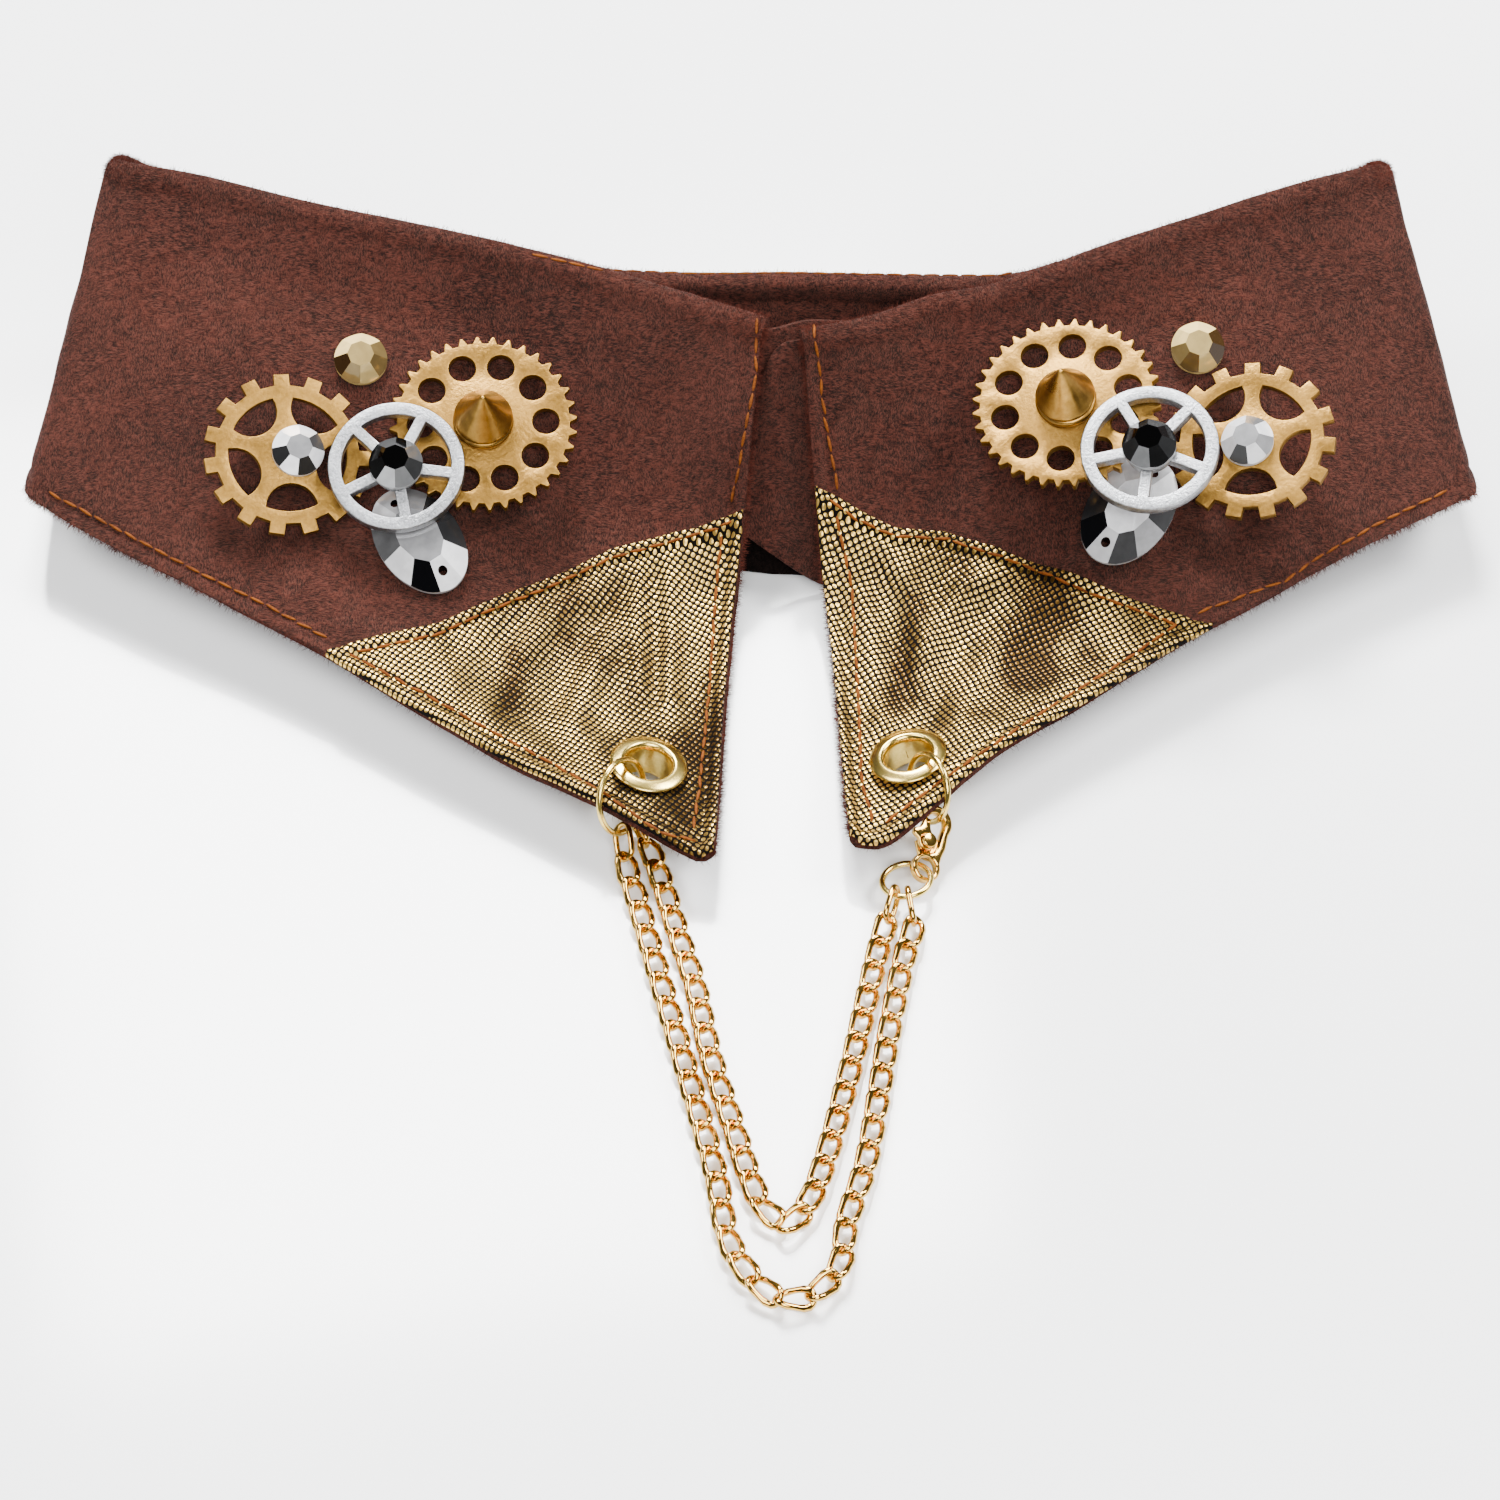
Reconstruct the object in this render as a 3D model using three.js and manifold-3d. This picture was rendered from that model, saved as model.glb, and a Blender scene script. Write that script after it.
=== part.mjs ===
// Detachable collar: a neckband with a pointed leaf folded over it, foil tips with eyelets,
// gears, wheels and stones on both wings, and two curb-chain strands between the tips.
// Millimetres, +Z up, +X to the right, +Y to the back. The collar lies closed on a table.

import * as THREE from 'three';
import { mergeVertices } from 'three/addons/utils/BufferGeometryUtils.js';
import Module from 'manifold-3d';

const wasm = await Module();
wasm.setup();

// Driving dimensions
const GAP = 0.3;
const LEAF_THICKNESS = 1.8;
const BAND_THICKNESS = 1.5;
const FOIL_THICKNESS = 0.5;
const FOIL_GAP = 0.4;
const TAPE_THICKNESS = 1.0;
const TAPE_GAP = 0.6;
const FOLD_DROP = 3.55;
const ORIGIN_SHIFT = { x: -0.1, y: -27.0, z: 0.05 };
const WELD = 1e-4;
const FUSE = 0.2;

// Plates, stones and turned parts
const PLATE_THICKNESS = 1.6;
const WHEEL_THICKNESS = 1.8;
const BIG_GEAR = {
  teeth: 36, toothHalf: 0.28, root: 13.2, tip: 14.4, holes: 10, holeCircle: 9.5, holeRadius: 2.1,
};
const SMALL_GEAR = { teeth: 15, rootHalf: 0.25, tipHalf: 0.23, root: 10.9, tip: 12.65, openings: 5 };
const WHEEL = { outer: 10.3, rim: 8.3, hub: 3.6, spokes: 5, spokeWidth: 1.7 };
const HOLE_SIDES = 10;
const ROUND_SIDES = 16;
const ROUND_STONE = { radius: 4.05, height: 3.1 };
const SILVER_STONE = {
  radius: 3.95,
  height: 2.9,
  shift: { left: { x: 1.5, y: 0.3 }, right: { x: -0.5, y: -0.5 } },
};
const OVAL_STONE = { radiusX: 6.4, radiusY: 9.3, height: 3.2, holeRadius: 0.75, holeAt: 6.5 };
const STONE_GIRDLE = 0.7;
const TABLE_SHARE = 0.5;
const SPIKE_PROFILE = [
  [0, 0], [4.5, 0], [4.6, 0.7], [4.2, 1.1], [4.2, 1.5], [4.5, 1.9], [4.3, 2.3], [0.35, 9.5], [0, 9.8],
];

// Eyelets: a domed flange above the foil and a washer below the leaf, about the bore's axis
const EYELET = { bore: 3.1, barrel: 3.5, washer: 4.7, washerThickness: 0.5, flange: 5.6 };
const EYELET_HOLE = 3.8;
const EYELET_DOME = [[5.5, 0.45], [4.6, 1.0], [3.6, 0.9]];

// Rings and chain
const WIRE = 0.47;
const RING_SIDES = 5;
const RING_STEPS = 18;
const LINK = { halfLength: 2.5, corner: 0.95, middle: 0, halfWidth: 1.5, twist: 45 };
const END_LINK = { halfLength: 2.75, corner: 0.9, middle: 1.4, halfWidth: 1.6, twist: 0 };
const LINK_WIRE = 0.475;
const LINK_PITCH = 4.36;
const END_LINK_REACH = 1.5;
const MITRE_LIMIT = 0.55;

// Lobster clasp: its length runs along X from the middle of the eye, Y points to the lever
const CLASP = { eye: 2.25, eyeHole: 1.5, halfThickness: 0.8, hookAt: 7.05, hookOuter: 2.7, hookInner: 1.4 };
const LEVER = { pivotX: 3.7, pivotY: 0.9, bottom: 0.2, top: 1.1, hole: 0.85 };
const PIN = { radius: 0.55, headRadius: 1.15, headBottom: 1.4, headTop: 1.9 };

// Fold over the neckband: distance outward from the crest line, and height above it
const FOLD_ROLL = [
  { out: 0.0, up: -3.0 },
  { out: 0.0, up: -1.2 },
  { out: 0.8, up: -0.25 },
  { out: 2.0, up: 0.0 },
  { out: 3.3, up: -0.5 },
];
const SHOULDER = { out: 4.5, up: -1.8 };
const UNDER_SHOULDER = { out: 3.0, up: -3.0 };

// Where the leaf's surface rows lie between the shoulder (0) and the hem (1)
const SAG_STOPS = [0, 0.12, 0.3, 0.5, 0.75, 1];
const LEAF_ROWS = [0, 0.05, 0.12, 0.2, 0.3, 0.4, 0.5, 0.62, 0.75, 0.88, 1];

// Sections of the collar from the left front edge round the back to the right front edge:
// crest of the fold, hem of the leaf, foot of the neckband's inner face, and the leaf's sag
// below the straight line from its shoulder to its hem
const SECTION_COLUMNS = [
  'crestX', 'crestY', 'crestZ', 'hemX', 'hemY', 'hemZ', 'footX', 'footY', 'footZ',
  'sag12', 'sag30', 'sag50', 'sag75', 'steps',
];
const SECTIONS = named(SECTION_COLUMNS, [
  [3.0, 84.9, 33.0, -5.2, 0.8, 8.0, 3.0, 64.2, 0.0, 4.8, 15.5, 15.6, 8.8, 2],
  [0.0, 86.0, 33.1, -8.6, 0.6, 7.6, -0.5, 64.7, 0.0, 5.5, 15.8, 15.8, 9.0, 1],
  [-7.6, 89.1, 33.3, -18.9, 6.3, 9.5, -8.0, 66.0, 0.0, 7.4, 15.9, 16.2, 9.8, 2],
  [-22.8, 94.6, 34.3, -34.0, 15.6, 9.5, -23.0, 68.4, 0.0, 5.4, 12.3, 14.2, 9.8, 2],
  [-38.0, 98.3, 36.0, -48.0, 24.9, 9.8, -38.0, 71.8, 0.7, 4.8, 6.0, 7.0, 7.1, 2],
  [-53.2, 101.0, 38.0, -63.0, 35.6, 10.5, -53.0, 75.4, 1.7, 3.6, 4.4, 5.0, 5.0, 2],
  [-68.4, 103.3, 40.0, -80.0, 46.0, 11.0, -69.0, 79.6, 2.8, 2.0, 2.5, 2.5, 2.0, 2],
  [-83.6, 106.6, 42.0, -96.0, 55.7, 11.4, -85.0, 83.8, 4.2, 0.8, 1.2, 1.0, 0.8, 2],
  [-94.4, 108.0, 43.4, -107.2, 63.4, 12.0, -97.0, 86.9, 5.6, 0.4, 0.5, 0.4, 0.2, 1],
  [-96.6, 109.4, 42.6, -111.2, 69.0, 11.4, -99.6, 88.4, 6.0, 0.2, 0.3, 0.2, 0.1, 1],
  [-96.8, 111.0, 40.6, -110.4, 88.0, 3.6, -99.8, 90.2, 6.0, 0.0, 0.0, 0.0, 0.0, 1],
  [-94.6, 110.6, 38.0, -107.6, 106.0, 1.6, -97.4, 91.2, 5.8, 0.5, 1.0, 1.0, 0.5, 1],
  [-89.0, 108.6, 35.5, -98.0, 118.0, 1.8, -91.0, 90.6, 4.6, 1.0, 1.6, 1.4, 0.8, 1],
  [-79.0, 105.3, 32.5, -81.0, 126.0, 1.6, -80.0, 88.4, 3.0, 1.0, 2.0, 2.0, 1.0, 2],
  [-60.0, 101.5, 31.5, -61.0, 127.6, 1.5, -60.0, 84.4, 1.4, 1.0, 2.0, 2.0, 1.0, 2],
  [-34.0, 98.8, 30.0, -36.0, 122.6, 1.5, -34.0, 79.8, 0.4, 1.0, 2.0, 2.0, 1.0, 1],
  [-20.0, 95.7, 29.0, -21.0, 118.8, 1.5, -20.0, 76.8, 0.0, 1.0, 2.0, 2.0, 1.0, 2],
  [8.0, 94.7, 29.5, 8.0, 117.0, 1.5, 8.0, 75.6, 0.0, 1.0, 2.0, 2.0, 1.0, 2],
  [38.0, 94.6, 29.0, 38.0, 118.4, 1.5, 38.0, 77.0, 0.4, 1.0, 2.0, 2.0, 1.0, 1],
  [50.0, 97.7, 29.5, 51.0, 122.2, 1.5, 50.0, 80.2, 1.0, 1.0, 2.0, 2.0, 1.0, 1],
  [62.0, 100.4, 30.8, 63.0, 126.0, 1.5, 62.0, 83.6, 1.6, 1.0, 2.0, 2.0, 1.0, 2],
  [80.0, 104.0, 32.8, 82.0, 126.6, 1.6, 80.0, 88.0, 3.0, 1.0, 2.0, 2.0, 1.0, 1],
  [90.0, 107.4, 35.5, 98.0, 118.0, 1.8, 91.0, 90.4, 4.6, 1.0, 1.6, 1.4, 0.8, 1],
  [94.8, 109.4, 38.0, 108.2, 106.0, 1.6, 97.4, 90.8, 5.8, 0.5, 1.0, 1.0, 0.5, 1],
  [96.8, 109.8, 40.6, 110.4, 88.0, 3.6, 99.8, 89.8, 6.0, 0.0, 0.0, 0.0, 0.0, 1],
  [96.4, 108.4, 42.6, 111.4, 69.0, 11.4, 99.6, 88.0, 6.0, 0.2, 0.3, 0.2, 0.1, 1],
  [94.4, 107.3, 43.4, 107.6, 64.6, 12.0, 97.0, 86.6, 5.6, 0.4, 0.6, 0.5, 0.2, 1],
  [84.0, 104.2, 42.8, 95.0, 57.2, 11.6, 85.0, 83.4, 4.2, 1.0, 1.4, 1.0, 0.8, 2],
  [69.0, 99.8, 40.6, 79.6, 47.4, 11.0, 70.0, 79.0, 2.8, 2.0, 2.8, 2.4, 2.4, 2],
  [56.0, 95.6, 38.8, 66.6, 39.4, 10.5, 56.0, 74.6, 1.9, 3.4, 3.6, 3.4, 4.8, 2],
  [45.0, 91.9, 37.0, 55.4, 31.6, 10.1, 45.0, 70.0, 1.1, 4.2, 4.4, 4.6, 6.0, 2],
  [36.4, 89.6, 35.4, 45.6, 24.6, 9.7, 36.0, 66.4, 0.6, 4.2, 8.0, 10.6, 7.8, 2],
  [27.2, 88.4, 34.2, 36.4, 17.8, 9.5, 26.5, 63.2, 0.2, 5.4, 12.0, 13.5, 9.2, 1],
  [18.1, 85.0, 33.2, 26.4, 8.4, 9.0, 18.0, 60.0, 0.0, 7.3, 14.2, 14.9, 9.3, 1],
  [11.0, 83.2, 33.0, 18.8, 2.4, 7.6, 12.0, 58.8, 0.2, 7.4, 15.5, 15.2, 9.0, 1],
  [7.5, 82.5, 33.0, 14.4, 4.2, 7.4, 8.6, 59.0, 1.8, 7.3, 15.8, 15.3, 9.0, 1],
]);

// The neckband's two ends past the leaf's front edges, as crest and foot of its inner face:
// the left end lies behind and the right end in front
const END_COLUMNS = ['crestX', 'crestY', 'crestZ', 'footX', 'footY', 'footZ', 'steps'];
const END_BEHIND = named(END_COLUMNS, [
  [17.4, 87.4, 32.0, 17.4, 63.4, 0.0, 2],
  [9.0, 86.7, 33.0, 10.0, 63.6, 0.0, 2],
]);
const END_IN_FRONT = named(END_COLUMNS, [
  [3.8, 81.2, 31.6, 3.4, 60.3, 5.4, 1],
  [0.6, 75.6, 23.0, -1.4, 62.6, 7.8, 1],
]);
const BAND_SECTIONS = [...END_BEHIND, ...SECTIONS, ...END_IN_FRONT];

// Hook-and-loop tape on the end behind: station along the neckband, and how far down its
// face the tape starts
const TAPE_SECTIONS = [
  { station: 0.05, start: 0.0 },
  { station: 0.5, start: 0.0 },
  { station: 1.0, start: 0.0 },
  { station: 1.5, start: 0.1 },
  { station: 2.0, start: 0.3 },
  { station: 2.5, start: 0.5 },
  { station: 3.0, start: 0.6 },
];

// Leaf-shaped openings of the small gear: distance from its middle, degrees from the middle line
const OPENING_OUTLINE = [
  [9.3, -28], [9.3, -14], [9.3, 0], [9.3, 14], [9.3, 28], [6.4, 19], [4.9, 9], [4.5, 0], [4.9, -9],
  [6.4, -19],
];

// Clasp: the straight back that leads into the hook, the web below the lever, and the hook's
// outer and inner sweep in degrees
const SHANK_OUTLINE = [[5.4, -1.15], [2.0, -0.95], [0.6, -1.9], [3.6, -2.4]];
const WEB_OUTLINE = [[1.4, -1.3], [5.0, -1.3], [4.9, 1.3], [3.6, 2.2], [1.4, 1.2]];
const HOOK_SWEEP = { outerStart: -118, end: 68, innerStart: -100 };

// Lever outline about its pivot hole, with the thumb nub on the outer side
const LEVER_OUTLINE = [
  [2.3, 0.2], [3.0, -0.5], [4.2, -0.5], [4.9, 0.3], [5.6, 0.8], [7.0, 1.1], [7.2, 2.1],
  [6.0, 2.3], [5.5, 2.5], [5.0, 3.4], [4.2, 3.4], [3.7, 2.4], [2.5, 1.8],
];

// Where each flat-backed trim lies: point of the cloth, lean of its normal, turn about it
const SEAT_COLUMNS = ['x', 'y', 'leanX', 'leanY', 'turn'];
const SEAT_NAMES = ['bigGear', 'smallGear', 'oval', 'champagne', 'wheel', 'eyelet'];
const SEATS = {
  left: seats([
    [-40.7, 72.4, 0.05, -0.37, -10],
    [-70.7, 66.8, 0.2, -0.45, 3],
    [-50.0, 55.2, 0.03, -0.39, 35],
    [-59.6, 81.6, 0.08, -0.42, 0],
    [-53.5, 64.5, 0.03, -0.38, 65],
    [-15.0, 15.5, 0.17, 0.1, 0],
  ]),
  right: seats([
    [48.7, 71.1, -0.16, -0.28, 8],
    [76.9, 67.4, -0.22, -0.35, -3],
    [57.3, 58.2, -0.05, -0.45, -35],
    [68.3, 81.6, -0.03, -0.46, 0],
    [61.2, 62.3, -0.14, -0.28, 45],
    [23.3, 17.5, -0.2, 0.12, 0],
  ]),
};

// Seams of the foil tips from the front edge to the hem
const SEAM_COLUMNS = ['x', 'y'];
const SEAM_LEFT = named(SEAM_COLUMNS, [
  [4.0, 62.2], [-1.8, 62.0], [-11.3, 61.4], [-21.3, 58.8], [-30.6, 53.3], [-39.6, 47.2],
  [-46.9, 42.4], [-60.4, 36.8], [-75.0, 30.0],
]);
const SEAM_RIGHT = named(SEAM_COLUMNS, [
  [5.0, 66.0], [12.5, 63.8], [22.0, 60.3], [29.7, 59.9], [37.4, 56.7], [44.8, 52.1],
  [59.8, 44.8], [66.5, 41.5], [80.0, 35.0],
]);

// Rings through the eyelets: a point in the bore, a point outside the hem, the way the ring
// hangs and how far its middle hangs below the line between the two points
const RING_LEFT = { inner: [-15.9, 15.1, 7.3], outer: [-21.7, 6.3, 9.3], down: [0.2, -0.34, -0.92], drop: 0.8 };
const RING_RIGHT = { inner: [23.7, 16.8, 6.8], outer: [28.6, 8.5, 9.0], down: [-0.18, -0.35, -0.92], drop: 0.8 };
const HOOK_ANGLE = 40;
const CLASP_EYE = [25.4, 1.4, 2.2];
const CLASP_NORMAL = [0.42, -0.59, 0.8];
const LOWER_RING = {
  radius: 3.55, across: [0.776, 0.63, 0], below: [0.616, -0.759, 0.208],
};

// Chain strands on the table between the left ring and the lower ring
const STRAND_COLUMNS = ['x', 'y', 'z', 'roll'];
const OUTER_STRAND = named(STRAND_COLUMNS, [
  [-17.8, 1.6, 1.7, 0], [-16.6, -2.7, 1.5, 0], [-12.4, -19.7, 1.45, 0], [-8.2, -36.7, 1.45, 0],
  [-4.6, -51.9, 1.45, 0], [-3.1, -61.2, 1.45, 0], [-1.2, -66.0, 1.45, 0], [3.0, -70.9, 1.45, 0],
  [7.4, -71.4, 1.45, 0], [11.8, -67.0, 1.45, 0], [13.3, -59.0, 1.45, 0], [15.9, -50.0, 1.45, 0],
  [17.8, -39.2, 1.45, 0], [19.7, -27.2, 1.45, 0], [22.2, -14.0, 1.45, 0], [23.6, -8.4, 1.5, 0],
]);
const INNER_STRAND = named(STRAND_COLUMNS, [
  [-14.3, 4.4, 1.7, 0], [-12.6, -1.1, 1.5, 0], [-10.1, -10.7, 1.45, 0], [-7.8, -19.1, 1.45, 0],
  [-5.5, -31.4, 1.45, 0], [-2.2, -43.8, 1.45, 0], [0.2, -52.6, 1.45, 0], [2.2, -57.4, 1.45, 0],
  [5.4, -59.3, 1.45, 0], [8.1, -55.8, 1.45, 0], [10.2, -49.8, 1.45, 0], [14.0, -34.1, 1.45, 0],
  [16.5, -22.0, 1.45, 0], [18.2, -13.8, 1.45, 0], [19.4, -9.0, 1.5, 0],
]);
const RING_ANGLES = { outerLeft: 20, innerLeft: -15, outerRight: -34, innerRight: -69 };

const SKY = 120;
const FAR_BACK = 200;
const REACH = 12;
const PROBE_COUNT = 40;
const TABLE_EDGE = Math.cos(Math.PI / 8);
const PLATE_SHARES = [1, 0.85, 0.65, 0.4];
const RIM_SHARES = [1, 0.93, 0.86, 0.8];
const LEFT_TIP_END = 5;
const RIGHT_TIP_START = 28;
const EVERY_SIDE = new THREE.MeshStandardMaterial({ side: THREE.DoubleSide });

// Reads rows of numbers as objects with the given column names.
function named(columns, rows) {
  return rows.map((row) => Object.fromEntries(columns.map((name, i) => [name, row[i]])));
}

function seats(rows) {
  return Object.fromEntries(named(SEAT_COLUMNS, rows).map((seat, i) => [SEAT_NAMES[i], seat]));
}

function vec(x, y, z) {
  return new THREE.Vector3(x, y, z);
}

// Smooth interpolation of one column at station k, which counts rows from 0.
function column(rows, name, k) {
  const last = rows.length - 1;
  const i = Math.min(Math.floor(k), last - 1);
  const u = k - i;
  const at = (j) => rows[Math.min(Math.max(j, 0), last)][name];
  const slopeStart = (at(i + 1) - at(i - 1)) / 2;
  const slopeEnd = (at(i + 2) - at(i)) / 2;
  const rise = at(i + 1) - at(i);
  const bend = slopeStart - rise;
  const turn = rise - slopeEnd;
  return at(i) + u * (rise + (1 - u) * (bend * (1 - u) + turn * u));
}

function columnPoint(rows, prefix, k) {
  return vec(column(rows, `${prefix}X`, k), column(rows, `${prefix}Y`, k), column(rows, `${prefix}Z`, k));
}

// Horizontal direction that points away from the neck, square to the crest line.
function outwardAt(rows, prefix, k) {
  const step = 0.25;
  const last = rows.length - 1;
  const before = columnPoint(rows, prefix, Math.max(k - step, 0));
  const after = columnPoint(rows, prefix, Math.min(k + step, last));
  const along = after.sub(before).setZ(0).normalize();
  return vec(-along.y, along.x, 0);
}

// Station values with the wanted number of steps between neighbouring rows.
function stations(rows) {
  const values = [];
  rows.slice(0, -1).forEach((row, i) => {
    for (let step = 0; step < row.steps; step += 1) values.push(i + step / row.steps);
  });
  values.push(rows.length - 1);
  return values;
}

// Builds one closed body through rings with the same number of points.
function loft(rings, closed = false) {
  const count = rings[0].length;
  const points = rings.flat();
  const faces = [];
  const spans = closed ? rings.length : rings.length - 1;
  for (let r = 0; r < spans; r += 1) {
    const here = r * count;
    const next = ((r + 1) % rings.length) * count;
    for (let i = 0; i < count; i += 1) {
      const j = (i + 1) % count;
      faces.push([here + i, here + j, next + j], [here + i, next + j, next + i]);
    }
  }
  if (!closed) {
    const lastStart = (rings.length - 1) * count;
    capFaces(rings[0]).forEach(([a, b, c]) => faces.push([c, b, a]));
    capFaces(rings.at(-1)).forEach(([a, b, c]) => faces.push([lastStart + a, lastStart + b, lastStart + c]));
  }
  return solidGeometry(points, faces);
}

// Triangles that fill a nearly flat ring, wound the same way round as the ring.
function capFaces(ring) {
  const normal = vec(0, 0, 0);
  ring.forEach((p, i) => normal.add(p.clone().cross(ring[(i + 1) % ring.length])));
  normal.normalize();
  const side = Math.abs(normal.z) > 0.9 ? vec(1, 0, 0) : vec(0, 0, 1);
  const u = side.clone().cross(normal).normalize();
  const v = normal.clone().cross(u);
  const flat = ring.map((p) => new THREE.Vector2(p.dot(u), p.dot(v)));
  const area = THREE.ShapeUtils.area(flat);
  return THREE.ShapeUtils.triangulateShape(flat, []).map((face) => {
    const [a, b, c] = face.map((i) => flat[i]);
    const turn = (b.x - a.x) * (c.y - a.y) - (b.y - a.y) * (c.x - a.x);
    return turn * area > 0 ? face : [face[2], face[1], face[0]];
  });
}

// Makes a geometry and turns its faces outward.
function solidGeometry(points, faces) {
  let volume = 0;
  faces.forEach(([a, b, c]) => {
    volume += points[a].dot(points[b].clone().cross(points[c]));
  });
  const geometry = new THREE.BufferGeometry().setFromPoints(points);
  const wound = volume > 0 ? faces : faces.map(([a, b, c]) => [c, b, a]);
  geometry.setIndex(wound.flat());
  return geometry;
}

function toSolid(geometry) {
  const bare = geometry.clone();
  bare.deleteAttribute('normal');
  bare.deleteAttribute('uv');
  const merged = mergeVertices(bare, WELD);
  const corners = Array.from(merged.index.array);
  const faces = [];
  for (let i = 0; i < corners.length; i += 3) {
    const [a, b, c] = corners.slice(i, i + 3);
    if (a !== b && b !== c && c !== a) faces.push(a, b, c);
  }
  return new wasm.Manifold(new wasm.Mesh({
    numProp: 3,
    vertProperties: new Float32Array(merged.attributes.position.array),
    triVerts: new Uint32Array(faces),
  }));
}

function toGeometry(solid) {
  const mesh = solid.getMesh();
  const geometry = new THREE.BufferGeometry();
  geometry.setAttribute('position', new THREE.BufferAttribute(mesh.vertProperties, 3));
  geometry.setIndex(new THREE.BufferAttribute(mesh.triVerts, 1));
  return geometry;
}

function cut(geometry, ...tools) {
  return toGeometry(tools.reduce((solid, tool) => solid.subtract(toSolid(tool)), toSolid(geometry)));
}

function join(geometries) {
  return toGeometry(geometries.slice(1).reduce((solid, g) => solid.add(toSolid(g)), toSolid(geometries[0])));
}

// Leaf surface point at station k and row t, on the outer side of the cloth.
function leafPoint(k, t) {
  const crest = columnPoint(SECTIONS, 'crest', k);
  const outward = outwardAt(SECTIONS, 'crest', k);
  const shoulder = crest.addScaledVector(outward, SHOULDER.out).add(vec(0, 0, SHOULDER.up));
  const hem = columnPoint(SECTIONS, 'hem', k);
  return shoulder.lerp(hem, t).sub(vec(0, 0, leafSag(k, t)));
}

function leafSag(k, t) {
  const sags = ['sag12', 'sag30', 'sag50', 'sag75'].map((name) => column(SECTIONS, name, k));
  const depths = [0, ...sags, 0];
  const last = depths.length - 1;
  let i = 0;
  while (i < last - 1 && t > SAG_STOPS[i + 1]) i += 1;
  const slopeAt = (j) => {
    const a = Math.max(j - 1, 0);
    const b = Math.min(j + 1, last);
    return (depths[b] - depths[a]) / (SAG_STOPS[b] - SAG_STOPS[a]);
  };
  const span = SAG_STOPS[i + 1] - SAG_STOPS[i];
  const u = (t - SAG_STOPS[i]) / span;
  const rise = depths[i + 1] - depths[i];
  const bend = slopeAt(i) * span - rise;
  const turn = rise - slopeAt(i + 1) * span;
  return depths[i] + u * (rise + (1 - u) * (bend * (1 - u) + turn * u));
}

function leafNormal(k, t) {
  const d = 0.01;
  const last = SECTIONS.length - 1;
  const alongK = leafPoint(Math.min(k + d, last), t).sub(leafPoint(Math.max(k - d, 0), t));
  const alongT = leafPoint(k, Math.min(t + d, 1)).sub(leafPoint(k, Math.max(t - d, 0)));
  return alongK.cross(alongT).normalize();
}

// Closed outline of the leaf's cloth at one station.
function leafRing(k) {
  const crest = columnPoint(SECTIONS, 'crest', k);
  const outward = outwardAt(SECTIONS, 'crest', k);
  const local = ({ out, up }) => crest.clone().addScaledVector(outward, out).add(vec(0, 0, up));
  const outer = LEAF_ROWS.map((t) => leafPoint(k, t));
  const inner = LEAF_ROWS.slice(1).reverse()
    .map((t) => leafPoint(k, t).addScaledVector(leafNormal(k, t), -LEAF_THICKNESS));
  return [...FOLD_ROLL.map(local), ...outer, ...inner, local(UNDER_SHOULDER)];
}

function collarLeaf() {
  return loft(stations(SECTIONS).map(leafRing));
}

// The neckband's inner face at station k, from just under the fold to the foot.
function bandFace(k, start = 0) {
  const top = columnPoint(BAND_SECTIONS, 'crest', k).sub(vec(0, 0, FOLD_DROP));
  const foot = columnPoint(BAND_SECTIONS, 'foot', k);
  return [start, (start + 1) / 2, 1].map((t) => top.clone().lerp(foot, t));
}

// Closed outline between two distances outward from the neckband's inner face.
function bandRing(k, near, far, start) {
  const outward = outwardAt(BAND_SECTIONS, 'crest', k);
  const face = bandFace(k, start);
  const shifted = (out) => face.map((p) => p.clone().addScaledVector(outward, out));
  return [...shifted(near), ...shifted(far).reverse()];
}

function neckband() {
  return loft(stations(BAND_SECTIONS).map((k) => bandRing(k, 0, BAND_THICKNESS)));
}

function hookAndLoopTape() {
  const near = BAND_THICKNESS + TAPE_GAP;
  return loft(TAPE_SECTIONS.map(({ station, start }) => bandRing(station, near, near + TAPE_THICKNESS, start)));
}

// Frame with its Z along the normal and its X to the right, turned about Z by some degrees.
function frameAlong(normal, turn = 0) {
  const z = normal.clone().normalize();
  const x = vec(1, 0, 0).addScaledVector(z, -z.x).normalize();
  const frame = new THREE.Matrix4().makeBasis(x, z.clone().cross(x), z);
  return frame.multiply(new THREE.Matrix4().makeRotationZ(THREE.MathUtils.degToRad(turn)));
}

function leaning(seat) {
  return vec(seat.leanX, seat.leanY, Math.sqrt(1 - seat.leanX ** 2 - seat.leanY ** 2));
}

function firstHit(from, direction, pieces) {
  const [hit] = new THREE.Raycaster(from, direction).intersectObjects(pieces, false);
  return hit;
}

// Frame of a flat-bottomed piece laid on the pieces below it, clear of them by the gap.
function restFrame(seat, outline, pieces) {
  const normal = leaning(seat);
  const foot = firstHit(vec(seat.x, seat.y, SKY), vec(0, 0, -1), pieces.slice(0, 1)).point;
  const frame = frameAlong(normal, seat.turn).setPosition(foot);
  const heights = outline.map((p) => {
    const from = p.clone().applyMatrix4(frame).addScaledVector(normal, REACH);
    const hit = firstHit(from, normal.clone().negate(), pieces);
    return hit ? REACH - hit.distance : -REACH;
  });
  return frame.setPosition(foot.addScaledVector(normal, Math.max(...heights) + GAP));
}

// Points of an oval and of smaller ovals inside it, to feel for what lies below a piece.
function probes(radiusX, radiusY, shares) {
  return shares.flatMap((share) => ovalPoints(radiusX * share, radiusY * share, PROBE_COUNT)
    .map((p) => vec(p.x, p.y, 0)));
}

function ovalPoints(radiusX, radiusY, count, start = 0) {
  return Array.from({ length: count }, (_, i) => {
    const angle = start + (i / count) * Math.PI * 2;
    return new THREE.Vector2(radiusX * Math.cos(angle), radiusY * Math.sin(angle));
  });
}

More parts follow.
